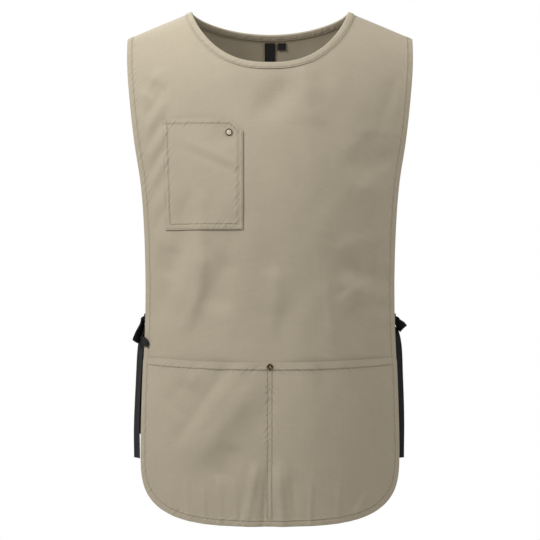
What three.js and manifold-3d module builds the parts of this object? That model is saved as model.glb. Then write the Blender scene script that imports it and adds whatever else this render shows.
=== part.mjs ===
// A cobbler apron, also called a tabard: a front and a back panel of cotton twill joined at the
// shoulders, open down both sides and held there by black tape ties. The front has a chest pocket
// with a cut corner and a wide lower pocket divided by a seam, each with a brass rivet.
// Millimetres, +Z up, the front faces -Y. The origin lies midway between the two shoulder seams.
import * as THREE from "three";
import { mergeVertices } from "three/addons/utils/BufferGeometryUtils.js";
import Module from "manifold-3d";

const wasm = await Module();
wasm.setup();

// Overall sizes of the worn apron.
const BODY_LENGTH = 745; // neck points straight down to the hem at the centre front
const NECK_WIDTH = 232; // between the two neck points
const SHOULDER_WIDTH = 420; // between the two shoulder tips
const SHOULDER_DROP = 39; // from a neck point down to a shoulder tip
const FRONT_NECK_DROP = 84;
const BACK_NECK_DROP = 26;
const FRONT_DEPTH = 118; // how far the front stands before the shoulder seams, at most
const BACK_DEPTH = 112;
const SHOULDER_ROLL = 140; // height over which the cloth turns from lying on the shoulder to hanging
const RIDGE_ROUNDING = 60; // rounds the shoulder line where it would cross the neck
const HEM_CORNER_HEIGHT = 101; // height over which the side edge turns into the hem

// Cloth and seams.
const CLOTH = 1.2;
const POCKET_CLOTH = 1.1;
const BINDING_CLOTH = 1.0;
const HEM_THICKNESS = 2.4;
const HEM_WIDTH = 9;
const HEM_STEP = 1.2; // the slope from the thick hem down to the single cloth
const BINDING_WIDTH = 9.5;
const GAP = 0.3; // between pieces that touch
const FACET_GAP = 0.4; // more where a piece lies across the flat faces that a curved panel is made of

// Lower pocket.
const POCKET_MOUTH_DOWN = 512; // its mouth below the neck points, at the centre
const POCKET_MOUTH_LIFT = 6; // how much higher the mouth ends at the sides
const POCKET_GAPE = 11; // how far each half stands off the panel at most
const MOUTH_HEM_WIDTH = 10;
const MOUTH_HEM_THICKNESS = 1.8;
const DIVIDING_SEAM_WIDTH = 8;

// Chest pocket, on the wearer's right.
const CHEST_POCKET_WIDTH = 117;
const CHEST_POCKET_HEIGHT = 158;
const CHEST_POCKET_INNER_X = 38.5; // its inner edge from the centre line
const CHEST_POCKET_DOWN = 164; // its mouth below the neck points
const CHEST_POCKET_TAPER = 5; // how much narrower it is at the bottom
const CHEST_MOUTH_RISE = 2.5; // how much higher its mouth ends at the side
const CUT_CORNER = 18;
const CHEST_GAPE = 10; // how far its middle stands off the panel at most

// Rivets.
const CHEST_RIVET_DIAMETER = 10.4;
const CHEST_RIVET_INSET = 19.5; // from the inner edge of the chest pocket
const CHEST_RIVET_DOWN = 19.5; // below the mouth of the chest pocket
const POCKET_RIVET_DIAMETER = 9.2;
const POCKET_RIVET_DOWN = 6; // below the mouth of the lower pocket
const RIVET_CAP = 1.7;
const RIVET_SHANK_DIAMETER = 3;
const RIVET_WASHER = 0.8;
const RIVET_HOLE_CLEARANCE = 0.3;
const RIVET_GAP = 0.4;
const WASHER_SHARE = 0.8; // of the cap's diameter
const SMALLEST_EDGE = 0.02; // shorter ones are drawn together where pieces are cut or joined
const SIGHT = 20; // how far off a rivet's axis is followed to find the faces it passes
const PINCH_REACH = 20; // how far round a rivet the layers are held together

// Neck labels.
const NECK_LABEL_WIDTH = 16;
const NECK_LABEL_HEIGHT = 42;
const SIZE_LABEL_WIDTH = 13;
const SIZE_LABEL_HEIGHT = 10;
const SIZE_LABEL_X = 17.8;
const LABEL_THICKNESS = 1;
const LABEL_ROWS = 4;
const LABEL_COLUMNS = 3;

// Side ties.
const TAPE_WIDTH = 20;
const TAPE_THICKNESS = 1;
const TIE_DOWN = 452; // the knots below the neck points
const TAIL_LENGTH = 206; // from a knot down to the end of the tape
const BACK_TAIL_LENGTH = 170;
const KNOT_IN = 1; // how far a knot's middle lies inside the front panel's edge

// How the outline and the depth change on the way down. down is a share of BODY_LENGTH, half of half
// the shoulder width, centre and edge of the panel's depth; power says how flat the middle is.
const FRONT_SECTIONS = [
  { down: 0.0, half: 1.0, centre: 0.78, edge: 0.26, power: 2.0 },
  { down: 0.1, half: 0.998, centre: 0.86, edge: 0.3, power: 2.0 },
  { down: 0.18, half: 0.975, centre: 0.92, edge: 0.32, power: 2.0 },
  { down: 0.26, half: 0.942, centre: 0.97, edge: 0.33, power: 2.1 },
  { down: 0.34, half: 0.899, centre: 1.0, edge: 0.31, power: 2.2 },
  { down: 0.42, half: 0.878, centre: 1.0, edge: 0.26, power: 2.3 },
  { down: 0.52, half: 0.869, centre: 0.97, edge: 0.18, power: 2.5 },
  { down: 0.62, half: 0.873, centre: 0.95, edge: 0.15, power: 2.6 },
  { down: 0.74, half: 0.89, centre: 0.97, edge: 0.18, power: 2.5 },
  { down: 0.86, half: 0.899, centre: 0.99, edge: 0.23, power: 2.4 },
  { down: 1.0, half: 0.892, centre: 1.0, edge: 0.27, power: 2.4 },
];
const BACK_SECTIONS = [
  { down: 0.0, half: 1.0, centre: 0.62, edge: 0.26, power: 2.0 },
  { down: 0.1, half: 0.985, centre: 0.84, edge: 0.32, power: 2.2 },
  { down: 0.2, half: 0.945, centre: 0.97, edge: 0.33, power: 2.3 },
  { down: 0.3, half: 0.895, centre: 1.0, edge: 0.28, power: 2.4 },
  { down: 0.42, half: 0.856, centre: 0.93, edge: 0.2, power: 2.5 },
  { down: 0.55, half: 0.846, centre: 0.84, edge: 0.13, power: 2.6 },
  { down: 0.7, half: 0.858, centre: 0.9, edge: 0.17, power: 2.5 },
  { down: 0.86, half: 0.868, centre: 0.97, edge: 0.24, power: 2.4 },
  { down: 1.0, half: 0.862, centre: 1.0, edge: 0.28, power: 2.4 },
];

// Soft folds that hang in the cloth. Each runs from one place to another, x as a share of half the
// shoulder width and down as a share of BODY_LENGTH; width and height are shares of the two sizes below.
const FOLD_WIDTH = 40;
const FOLD_HEIGHT = 6;
const FRONT_FOLDS = [
  { x: -0.66, down: 0.6, toX: -0.43, toDown: 0.46, width: 0.6, height: 0.75 },
  { x: -0.72, down: 0.53, toX: -0.66, toDown: 0.46, width: 0.45, height: -0.5 },
  { x: -0.36, down: 0.6, toX: -0.3, toDown: 0.47, width: 0.55, height: -0.55 },
  { x: 0.0, down: 0.6, toX: 0.02, toDown: 0.5, width: 0.6, height: 0.25 },
  { x: 0.64, down: 0.58, toX: 0.55, toDown: 0.54, width: 0.6, height: 0.5 },
  { x: 0.74, down: 0.5, toX: 0.62, toDown: 0.49, width: 0.55, height: -0.7 },
  { x: 0.84, down: 0.31, toX: 0.62, toDown: 0.25, width: 0.6, height: -0.6 },
  { x: 0.82, down: 0.38, toX: 0.6, toDown: 0.34, width: 0.5, height: 0.4 },
  { x: 0.3, down: 0.14, toX: 0.26, toDown: 0.24, width: 0.5, height: 0.4 },
  { x: 0.16, down: 0.15, toX: -0.06, toDown: 0.22, width: 0.5, height: -0.4 },
  { x: -0.86, down: 0.17, toX: -0.78, toDown: 0.14, width: 0.35, height: -0.5 },
  { x: -0.12, down: 0.72, toX: -0.56, toDown: 0.9, width: 0.5, height: 0.7 },
  { x: -0.5, down: 0.72, toX: -0.66, toDown: 0.8, width: 0.5, height: -0.45 },
  { x: -0.22, down: 0.84, toX: -0.34, toDown: 0.92, width: 0.45, height: -0.4 },
  { x: -0.08, down: 0.86, toX: -0.14, toDown: 1.0, width: 0.3, height: 0.5 },
  { x: 0.07, down: 0.86, toX: 0.09, toDown: 1.0, width: 0.28, height: 0.45 },
];
const BACK_FOLDS = [
  { x: -0.45, down: 0.35, toX: -0.5, toDown: 1.0, width: 0.9, height: 0.5 },
  { x: -0.12, down: 0.5, toX: -0.16, toDown: 1.0, width: 0.8, height: -0.5 },
  { x: 0.2, down: 0.42, toX: 0.24, toDown: 1.0, width: 0.9, height: 0.6 },
  { x: 0.56, down: 0.5, toX: 0.52, toDown: 1.0, width: 0.7, height: -0.4 },
];

// Shape of the neckline and of the rounded hem corners.
const FRONT_NECK_CURVE = { across: 2.5, down: 1.3 };
const BACK_NECK_CURVE = { across: 2.0, down: 1.38 };
const HEM_CURVE = { across: 3.9, down: 3.5 };
const CORNER_SHARE = 0.3; // share of HEM_CORNER_HEIGHT at which the columns of the side end
const SEAM_COLUMN = 0.4; // width of the columns beside the dividing seam, as a share of the others'
const NECK_CROWDING = 1.3; // above 1 the neckline's columns stand closer towards the neck points
const ROW_CROWDING = 1.35; // above 1 the rows lie closer towards the shoulders
const FINE = 200; // places worked out along an outline

const SEAT_DROP = SHOULDER_DROP / 2; // the origin is this far below the neck points

const FRONT_SHAPE = {
  way: -1,
  depth: FRONT_DEPTH,
  sections: FRONT_SECTIONS,
  folds: FRONT_FOLDS,
  neckDrop: FRONT_NECK_DROP,
  neckCurve: FRONT_NECK_CURVE,
  neckColumns: 9,
  shoulderColumns: 4,
  upperRows: 16,
  lowerRows: 8,
};
const BACK_SHAPE = {
  way: 1,
  depth: BACK_DEPTH,
  sections: BACK_SECTIONS,
  folds: BACK_FOLDS,
  neckDrop: BACK_NECK_DROP,
  neckCurve: BACK_NECK_CURVE,
  neckColumns: 7,
  shoulderColumns: 3,
  upperRows: 13,
  lowerRows: 5,
};

const shares = (count) => Array.from({ length: count + 1 }, (unused, i) => i / count);
const clamp = (value) => Math.min(Math.max(value, 0), 1);

// Smooth interpolation of one column of a section table.
function columnAt(rows, column, at) {
  const last = rows.length - 1;
  let i = 0;
  while (i < last - 1 && at > rows[i + 1].down) i += 1;
  const slope = (a, b) => (rows[b][column] - rows[a][column]) / (rows[b].down - rows[a].down);
  const span = rows[i + 1].down - rows[i].down;
  const startSlope = i > 0 ? slope(i - 1, i + 1) : slope(i, i + 1);
  const endSlope = i + 1 < last ? slope(i, i + 2) : slope(i, i + 1);
  const t = clamp((at - rows[i].down) / span);
  const reached = 3 * t ** 2 - 2 * t ** 3;
  const between = (1 - reached) * rows[i][column] + reached * rows[i + 1][column];
  return between + ((t ** 3 - 2 * t ** 2 + t) * startSlope + (t ** 3 - t ** 2) * endSlope) * span;
}

// How far the shoulder line lies below the neck points at x. It is straight, and rounded over the neck.
function ridgeDown(x) {
  const arm = (value) => Math.hypot(value, RIDGE_ROUNDING);
  const rise = SHOULDER_DROP / (arm(SHOULDER_WIDTH / 2) - arm(NECK_WIDTH / 2));
  return rise * (arm(x) - arm(NECK_WIDTH / 2));
}

// The height below the neck points of a place that lies a way over the cloth from the shoulder line.
function downAt(place) {
  const angle = Math.min(place.y / SHOULDER_ROLL, Math.PI / 2);
  return ridgeDown(place.x) + SHOULDER_ROLL * (1 - Math.cos(angle) - angle) + place.y;
}

// The place at x that lies at a height below the neck points.
function placeAt(x, down) {
  const drop = Math.max(down - ridgeDown(x), 0);
  const rest = Math.max(drop - SHOULDER_ROLL, 0);
  return new THREE.Vector2(x, SHOULDER_ROLL * Math.acos(1 - (drop - rest) / SHOULDER_ROLL) + rest);
}

// How far the mouth of the lower pocket lies below the neck points.
function mouthDown(x) {
  return POCKET_MOUTH_DOWN - POCKET_MOUTH_LIFT * ((2 * x) / SHOULDER_WIDTH) ** 2;
}

const mirrored = (place) => new THREE.Vector2(-place.x, place.y);

// A line through places, asked for by their share of the way along it.
class Line {
  constructor(places) {
    this.places = places;
  }

  // The line through the same places, evenly spaced.
  static evenly(places) {
    const lengths = [0];
    for (let i = 1; i < places.length; i += 1) {
      lengths.push(lengths[i - 1] + places[i].distanceTo(places[i - 1]));
    }
    const even = shares(FINE).map((share) => {
      const aim = share * lengths.at(-1);
      const i = Math.max(lengths.findIndex((length) => length >= aim), 1);
      const part = (aim - lengths[i - 1]) / (lengths[i] - lengths[i - 1]);
      return places[i - 1].clone().lerp(places[i], part);
    });
    return new Line(even);
  }

  at(share) {
    const aim = clamp(share) * (this.places.length - 1);
    const i = Math.min(Math.floor(aim), this.places.length - 2);
    return this.places[i].clone().lerp(this.places[i + 1], aim - i);
  }

  // The share at which a measure of the places first passes a value.
  shareWhere(measure, value) {
    const values = this.places.map(measure);
    const i = Math.max(values.findIndex((v) => v > value), 1);
    const part = clamp((value - values[i - 1]) / (values[i] - values[i - 1]));
    return (i - 1 + part) / (values.length - 1);
  }
}

// One panel's shape. Places on it are x and the way over the cloth from the shoulder line.
class Panel {
  constructor(settings) {
    Object.assign(this, settings);
    this.neckLine = this.makeNeckLine();
    this.edge = this.makeEdge();
    this.rim = this.insetEdge(HEM_WIDTH + HEM_STEP);
    this.corner = this.rim.shareWhere(downAt, BODY_LENGTH - CORNER_SHARE * HEM_CORNER_HEIGHT);
    const crowded = shares(this.neckColumns).map((share) => 1 - (1 - share) ** NECK_CROWDING);
    this.neckShares = [0, crowded[1] * SEAM_COLUMN, ...crowded.slice(1)];
    this.columns = this.neckColumns + this.shoulderColumns + 1;
    this.makeRows();
  }

  halfWidth(down) {
    return (SHOULDER_WIDTH / 2) * columnAt(this.sections, "half", down / BODY_LENGTH);
  }

  // How far the folds lift the cloth.
  foldHeight(x, down) {
    const place = new THREE.Vector2(x, down);
    let height = 0;
    for (const fold of this.folds) {
      const start = new THREE.Vector2((fold.x * SHOULDER_WIDTH) / 2, fold.down * BODY_LENGTH);
      const end = new THREE.Vector2((fold.toX * SHOULDER_WIDTH) / 2, fold.toDown * BODY_LENGTH);
      const run = end.sub(start);
      const along = clamp(place.clone().sub(start).dot(run) / run.lengthSq());
      const away = start.addScaledVector(run, along).distanceTo(place) / (fold.width * FOLD_WIDTH);
      height += fold.height * FOLD_HEIGHT * Math.exp(-away * away);
    }
    return height;
  }

  // The middle of the cloth.
  point(place) {
    const down = downAt(place);
    const share = down / BODY_LENGTH;
    const centre = columnAt(this.sections, "centre", share) * this.depth;
    const edge = columnAt(this.sections, "edge", share) * this.depth;
    const across = Math.abs(place.x) / this.halfWidth(down);
    const flat = centre - (centre - edge) * across ** columnAt(this.sections, "power", share);
    const roll = Math.sin(Math.min(place.y / SHOULDER_ROLL, Math.PI / 2));
    const depth = roll * (flat + this.foldHeight(place.x, down));
    return new THREE.Vector3(place.x, this.way * depth, SEAT_DROP - down);
  }

  // How the point moves when x or the way over the cloth grows by 1 mm.
  slopes(place) {
    const step = 0.5;
    const moved = (dx, dy) => this.point(new THREE.Vector2(place.x + dx, place.y + dy));
    const across = moved(step, 0).sub(moved(-step, 0)).divideScalar(2 * step);
    const over = moved(0, step).sub(moved(0, -step)).divideScalar(2 * step);
    return { across, over };
  }

  // The outward direction of the cloth.
  normal(place) {
    const { across, over } = this.slopes(place);
    return over.cross(across).multiplyScalar(-this.way).normalize();
  }

  // A place lifted off the middle of the cloth.
  on(place, lift) {
    return this.point(place).addScaledVector(this.normal(place), lift);
  }

  // The move on the pattern that leads 1 mm straight into the cloth from a line that runs along run.
  into(place, run) {
    const { across, over } = this.slopes(place);
    const along = across.clone().multiplyScalar(run.x).addScaledVector(over, run.y);
    const way = along.cross(this.normal(place)).normalize();
    const [aa, ab, bb] = [across.dot(across), across.dot(over), over.dot(over)];
    const [wa, wb] = [way.dot(across), way.dot(over)];
    const move = new THREE.Vector2(wa * bb - wb * ab, wb * aa - wa * ab).divideScalar(aa * bb - ab * ab);
    return Math.sign(place.x) * move.x + move.y < 0 ? move.negate() : move;
  }

  // The right half of the neckline, from the centre to the neck point.
  makeNeckLine() {
    const places = shares(FINE).map((share) => {
      const x = (NECK_WIDTH / 2) * Math.sin((Math.PI / 2) * share);
      const drop = (1 - ((2 * x) / NECK_WIDTH) ** this.neckCurve.across) ** (1 / this.neckCurve.down);
      return placeAt(x, this.neckDrop * drop);
    });
    places.at(-1).y = 0;
    return Line.evenly(places);
  }

  // A place at a share of the neckline's right half, moved into the cloth.
  neckPlace(share, inset) {
    const place = this.neckLine.at(share);
    const run = this.neckLine.at(share + 0.01).sub(this.neckLine.at(share - 0.01));
    if (share === 0) run.set(1, 0);
    if (share === 1) run.set(0, 1);
    place.addScaledVector(this.into(place, run), inset);
    if (share === 0) place.x = 0;
    return place;
  }

  // The free edge of the right half: down the side, round the corner and along the hem to the centre.
  makeEdge() {
    const cornerDown = BODY_LENGTH - HEM_CORNER_HEIGHT;
    const places = shares(FINE).map((share) => {
      const down = SHOULDER_DROP + (cornerDown - SHOULDER_DROP) * share;
      return placeAt(this.halfWidth(down), down);
    });
    places[0].y = 0;
    for (const share of shares(FINE).slice(1)) {
      const angle = (Math.PI / 2) * (1 - share);
      const down = cornerDown + HEM_CORNER_HEIGHT * Math.cos(angle) ** (2 / HEM_CURVE.down);
      places.push(placeAt(this.halfWidth(down) * Math.sin(angle) ** (2 / HEM_CURVE.across), down));
    }
    return Line.evenly(places);
  }

  // The free edge moved into the cloth.
  insetEdge(inset) {
    const all = this.edge.places;
    const places = all.map((place, i) => {
      const run = all[Math.min(i + 1, all.length - 1)].clone().sub(all[Math.max(i - 1, 0)]).normalize();
      if (i === 0) run.set(0, 1);
      if (i === all.length - 1) run.set(-1, 0);
      return new THREE.Vector2(Math.max(place.x - run.y * inset, 0), place.y + run.x * inset);
    });
    return new Line(places);
  }

  // A column's share of the half width below the neck. The first one lies beside the dividing seam.
  columnShare(i) {
    return i === 1 ? SEAM_COLUMN / (this.columns - 1) : Math.max(i - 1, 0) / (this.columns - 1);
  }

  // Fills the cloth between two lines given by column, bowed out to the rim between two shares of it.
  fill(top, bottom, ends, rowShares) {
    return rowShares.map((v) => {
      const straight = top[this.columns].clone().lerp(bottom[this.columns], v);
      const bow = this.rim.at(ends[0] + (ends[1] - ends[0]) * v).sub(straight);
      return top.map((place, i) =>
        place.clone().lerp(bottom[i], v).addScaledVector(bow, this.columnShare(i) ** 2),
      );
    });
  }

  // Places of the right half inside its hem and neck band, as rows from the top down. The row numbered
  // mouthRow follows the mouth of the lower pocket, the two below it the mouth's hem.
  makeRows() {
    const all = Array.from({ length: this.columns + 1 }, (unused, i) => i);
    const neckEnd = this.neckPlace(1, BINDING_WIDTH);
    const top = all.map((i) =>
      i < this.neckShares.length
        ? this.neckPlace(this.neckShares[i], BINDING_WIDTH)
        : neckEnd.clone().lerp(this.rim.at(0), (i - this.neckShares.length + 1) / this.shoulderColumns),
    );
    const lines = [0, MOUTH_HEM_WIDTH, MOUTH_HEM_WIDTH + HEM_STEP].map((below) => {
      const share = this.rim.shareWhere((p) => downAt(p) - mouthDown(p.x), below);
      const end = this.rim.at(share);
      const line = all.map((i) => {
        const x = end.x * this.columnShare(i);
        return i === this.columns ? end : placeAt(x, mouthDown(x) + below);
      });
      return { share, line };
    });
    const bottom = all.map((i) => this.rim.at(1 - (1 - this.corner) * this.columnShare(i)));
    const upperEnds = [0, lines[0].share];
    const lowerEnds = [lines[2].share, this.corner];
    const upperShares = shares(this.upperRows).map((v) => v ** ROW_CROWDING);
    const lowerShares = shares(this.lowerRows);
    const upper = this.fill(top, lines[0].line, upperEnds, upperShares);
    const lower = this.fill(lines[2].line, bottom, lowerEnds, lowerShares);
    const between = (ends, rowShares) => rowShares.map((v) => ends[0] + (ends[1] - ends[0]) * v);
    const across = all.slice(0, -1).reverse();
    this.rimShares = [
      ...between(upperEnds, upperShares),
      lines[1].share,
      ...between(lowerEnds, lowerShares),
      ...across.map((i) => 1 - (1 - this.corner) * this.columnShare(i)),
    ];
    this.mouthRow = upper.length - 1;
    this.rows = [...upper, lines[1].line, ...lower];
    for (const place of upper[0]) place.y = Math.max(place.y, GAP / 2);
  }
}

// Makes a closed wall from a sheet of faces whose vertices have a point on both its faces.
function wallGeometry(outer, inner, faces) {
  const count = outer.length;
  const index = [];
  const edges = new Map();
  for (const face of faces) {
    for (let i = 1; i < face.length - 1; i += 1) {
      index.push(face[0], face[i], face[i + 1]);
      index.push(face[0] + count, face[i + 1] + count, face[i] + count);
    }
    face.forEach((start, i) => {
      const end = face[(i + 1) % face.length];
      edges.set(`${start},${end}`, [start, end]);
    });
  }
  for (const [start, end] of edges.values()) {
    if (edges.has(`${end},${start}`)) continue;
    index.push(end, start, start + count, end, start + count, end + count);
  }
  return indexedGeometry([...outer, ...inner], index);
}

function indexedGeometry(points, index) {
  const geometry = new THREE.BufferGeometry();
  const position = points.flatMap((point) => point.toArray());
  geometry.setAttribute("position", new THREE.Float32BufferAttribute(position, 3));
  geometry.setIndex(index);
  return geometry;
}

// A sheet of cloth that lies on a panel, as vertices with a place, a thickness and a lift off the panel.
class Sheet {
  constructor(panel) {
    this.panel = panel;
    this.vertices = [];
    this.faces = [];
  }

  // Adds one vertex and returns its number.
  add(place, thickness, lift = 0) {
    this.vertices.push({ place, thickness, lift });
    return this.vertices.length - 1;
  }

  // Adds a row of the right half, and its mirror image that shares the vertex at the centre.
  addBoth(places, thickness, lift = () => 0) {
    const right = places.map((place) => this.add(place, thickness, lift(place)));
    const left = places.map((place, i) =>
      place.x < 1e-6 ? right[i] : this.add(mirrored(place), thickness, lift(place)),
    );
    return { right, left };
  }

  // Joins a row of both halves to the one that lies further down or further in.
  join(above, below) {
    for (const [half, turned] of [["right", false], ["left", true]]) {
      const length = Math.min(above[half].length, below[half].length);
      for (let i = 0; i < length - 1; i += 1) {
        const face = [above[half][i], above[half][i + 1], below[half][i + 1], below[half][i]];
        this.faces.push(turned ? face.reverse() : face);
      }
    }
  }

  geometry() {
    const faceOn = (way) =>
      this.vertices.map((v) => this.panel.on(v.place, v.lift + (way * v.thickness) / 2));
    const faces = this.panel.way < 0 ? this.faces.map((face) => [...face].reverse()) : this.faces;
    return wallGeometry(faceOn(1), faceOn(-1), faces);
  }
}

function panelGeometry(panel) {
  const sheet = new Sheet(panel);
  const main = panel.rows.map((row) => sheet.addBoth(row, CLOTH));
  for (let j = 1; j < main.length; j += 1) sheet.join(main[j - 1], main[j]);
  const band = sheet.addBoth(panel.neckShares.map((share) => panel.neckPlace(share, 0)), CLOTH);
  for (const i of [band.right.at(-1), band.left.at(-1)]) sheet.vertices[i].place.y = GAP / 2;
  sheet.join(band, main[0]);
  const rimOf = (half) => {
    const bottom = main.at(-1)[half].slice(0, -1).reverse();
    return [...main.map((row) => row[half].at(-1)), ...bottom];
  };
  let rims = { right: rimOf("right"), left: rimOf("left") };
  for (const inset of [HEM_WIDTH, 0]) {
    const line = panel.insetEdge(inset);
    const places = panel.rimShares.map((share) => line.at(share));
    places[0].y = GAP / 2;
    const outer = sheet.addBoth(places, HEM_THICKNESS);
    sheet.join(outer, rims);
    rims = outer;
  }
  return sheet.geometry();
}

const front = new Panel(FRONT_SHAPE);
const back = new Panel(BACK_SHAPE);

// Manifold solids for joining and cutting.
function solidOf(geometry) {
  const bare = new THREE.BufferGeometry();
  const loose = geometry.index ? geometry.toNonIndexed() : geometry;
  bare.setAttribute("position", loose.getAttribute("position").clone());
  const merged = mergeVertices(bare, 1e-3);
  return new wasm.Manifold(
    new wasm.Mesh({
      numProp: 3,
      vertProperties: merged.attributes.position.array,
      triVerts: new Uint32Array(merged.index.array),
    }),
  );
}

function geometryOf(solid) {
  const mesh = solid.getMesh();
  const position = new Float32Array(mesh.numVert * 3);
  for (let i = 0; i < mesh.numVert; i += 1) {
    position.set(mesh.vertProperties.subarray(i * mesh.numProp, i * mesh.numProp + 3), i * 3);
  }
  const geometry = new THREE.BufferGeometry();
  geometry.setAttribute("position", new THREE.BufferAttribute(position, 3));
  geometry.setIndex(new THREE.BufferAttribute(mesh.triVerts, 1));
  return geometry;
}

// Joins rings of points into a closed solid, either round and round or with capped ends.
function ringGeometry(rings, closed) {
  const size = rings[0].length;
  const index = [];
  const last = closed ? rings.length : rings.length - 1;
  for (let j = 0; j < last; j += 1) {
    const here = j * size;
    const next = ((j + 1) % rings.length) * size;
    for (let i = 0; i < size; i += 1) {
      const k = (i + 1) % size;
      index.push(here + i, here + k, next + k, here + i, next + k, next + i);
    }
  }
  if (!closed) {
    const end = (rings.length - 1) * size;
    for (let i = 1; i < size - 1; i += 1) {
      index.push(0, i + 1, i, end, end + i, end + i + 1);
    }
  }
  return outwards(indexedGeometry(rings.flat(), index));
}

// Turns a closed geometry right side out if its faces point inwards.
function outwards(geometry) {
  const index = geometry.index.array;
  const corner = (i) => new THREE.Vector3().fromBufferAttribute(geometry.attributes.position, index[i]);
  let volume = 0;
  for (let i = 0; i < index.length; i += 3) {
    volume += corner(i).dot(corner(i + 1).cross(corner(i + 2)));
  }
  for (let i = 0; volume < 0 && i < index.length; i += 3) {
    [index[i + 1], index[i + 2]] = [index[i + 2], index[i + 1]];
  }
  return geometry;
}

// The neck binding is a folded strip that takes the neck edge of both panels between its two legs.
// Its section is given as the way into the cloth and the lift off the middle of the cloth.
const BINDING_SLOT = CLOTH / 2 + FACET_GAP;
const BINDING_HALF = BINDING_SLOT + BINDING_CLOTH;
const LEG_END = BINDING_WIDTH - BINDING_CLOTH - 2 * GAP;
const BINDING_SECTION = [
  { into: -GAP - BINDING_CLOTH, lift: BINDING_SLOT },
  { into: -GAP, lift: BINDING_HALF },
  { into: LEG_END, lift: BINDING_HALF },
  { into: LEG_END, lift: BINDING_SLOT },
  { into: -GAP, lift: BINDING_SLOT },
  { into: -GAP, lift: -BINDING_SLOT },
  { into: LEG_END, lift: -BINDING_SLOT },
  { into: LEG_END, lift: -BINDING_HALF },
  { into: -GAP, lift: -BINDING_HALF },
  { into: -GAP - BINDING_CLOTH, lift: -BINDING_SLOT },
];

function bindingGeometry() {
  const ringAt = (panel, share, mirror) =>
    BINDING_SECTION.map(({ into, lift }) => {
      const place = panel.neckPlace(share, into);
      return panel.on(mirror ? mirrored(place) : place, lift);
    });
  const rings = [];
  for (const [panel, startsRight] of [
    [front, true],
    [back, false],
  ]) {
    const outwardShares = panel.neckShares.slice(0, -1);
    const inwardShares = panel.neckShares.slice(1).reverse();
    for (const share of inwardShares) rings.push(ringAt(panel, share, !startsRight));
    for (const share of outwardShares) rings.push(ringAt(panel, share, startsRight));
  }
  return ringGeometry(rings, true);
}

// How strongly the layers are held together by a rivet, from 1 at the rivet to 0 away from it.
function pinch(place, rivet) {
  return Math.exp(-((place.distanceTo(rivet) / PINCH_REACH) ** 4));
}

// Lower pocket.
const SEWN_LIFT = CLOTH / 2 + GAP + POCKET_CLOTH / 2; // a pocket's middle above the panel's, where sewn
const HEM_LIFT = (MOUTH_HEM_THICKNESS - POCKET_CLOTH) / 2; // a mouth hem's middle above the single cloth's
const pocketRivet = placeAt(0, POCKET_MOUTH_DOWN + POCKET_RIVET_DOWN);

function pocketLift(place) {
  const down = downAt(place);
  const seam = DIVIDING_SEAM_WIDTH / 2;
  const across = clamp((Math.abs(place.x) - seam) / (front.halfWidth(down) - HEM_WIDTH - HEM_STEP - seam));
  const up = clamp((BODY_LENGTH - HEM_WIDTH - down) / (BODY_LENGTH - HEM_WIDTH - mouthDown(place.x)));
  const stand = Math.sin(Math.PI * across) * Math.sin((Math.PI / 2) * up) ** 1.5;
  return SEWN_LIFT + POCKET_GAPE * stand * (1 - pinch(place, pocketRivet));
}

// The pocket takes the places of the panel below it, so that both bend alike where they are sewn.
function lowerPocketGeometry() {
  const sheet = new Sheet(front);
  const rows = front.rows.slice(front.mouthRow).map((row) => row.map((place) => place.clone()));
  for (const row of rows) moveTowards(row.at(-1), row.at(-2), GAP);
  rows.at(-1).forEach((place, i) => moveTowards(place, rows.at(-2)[i], GAP));
  const vertices = rows.map((row, j) => {
    const hem = j < 2;
    return sheet.addBoth(row, hem ? MOUTH_HEM_THICKNESS : POCKET_CLOTH, (place) =>
      pocketLift(place) + (hem ? HEM_LIFT : 0));
  });
  for (let j = 1; j < vertices.length; j += 1) sheet.join(vertices[j - 1], vertices[j]);
  return sheet.geometry();
}

function moveTowards(place, goal, length) {
  place.lerp(goal, length / place.distanceTo(goal));
}

// Chest pocket.
const chestInner = -CHEST_POCKET_INNER_X;
const chestOuter = chestInner - CHEST_POCKET_WIDTH;
const chestBottom = CHEST_POCKET_DOWN + CHEST_POCKET_HEIGHT;
const chestRivet = placeAt(chestInner - CHEST_RIVET_INSET, CHEST_POCKET_DOWN + CHEST_RIVET_DOWN);
const CHEST_COLUMNS = 10;
const CORNER_COLUMNS = 2; // those that start on the cut corner
const CHEST_ROWS = 8;

// The mouth's height at x, which follows the cut corner.
function chestMouthDown(x) {
  const rise = (CHEST_MOUTH_RISE * (chestInner - x)) / CHEST_POCKET_WIDTH;
  return CHEST_POCKET_DOWN - rise + Math.max(x - (chestInner - CUT_CORNER), 0);
}

function chestLift(place) {
  const across = clamp((chestInner - place.x) / CHEST_POCKET_WIDTH);
  const up = clamp((chestBottom - downAt(place)) / CHEST_POCKET_HEIGHT);
  const stand = Math.sin(Math.PI * across) * Math.sin((Math.PI / 2) * up);
  return SEWN_LIFT + FACET_GAP + CHEST_GAPE * stand * (1 - pinch(place, chestRivet));
}

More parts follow.
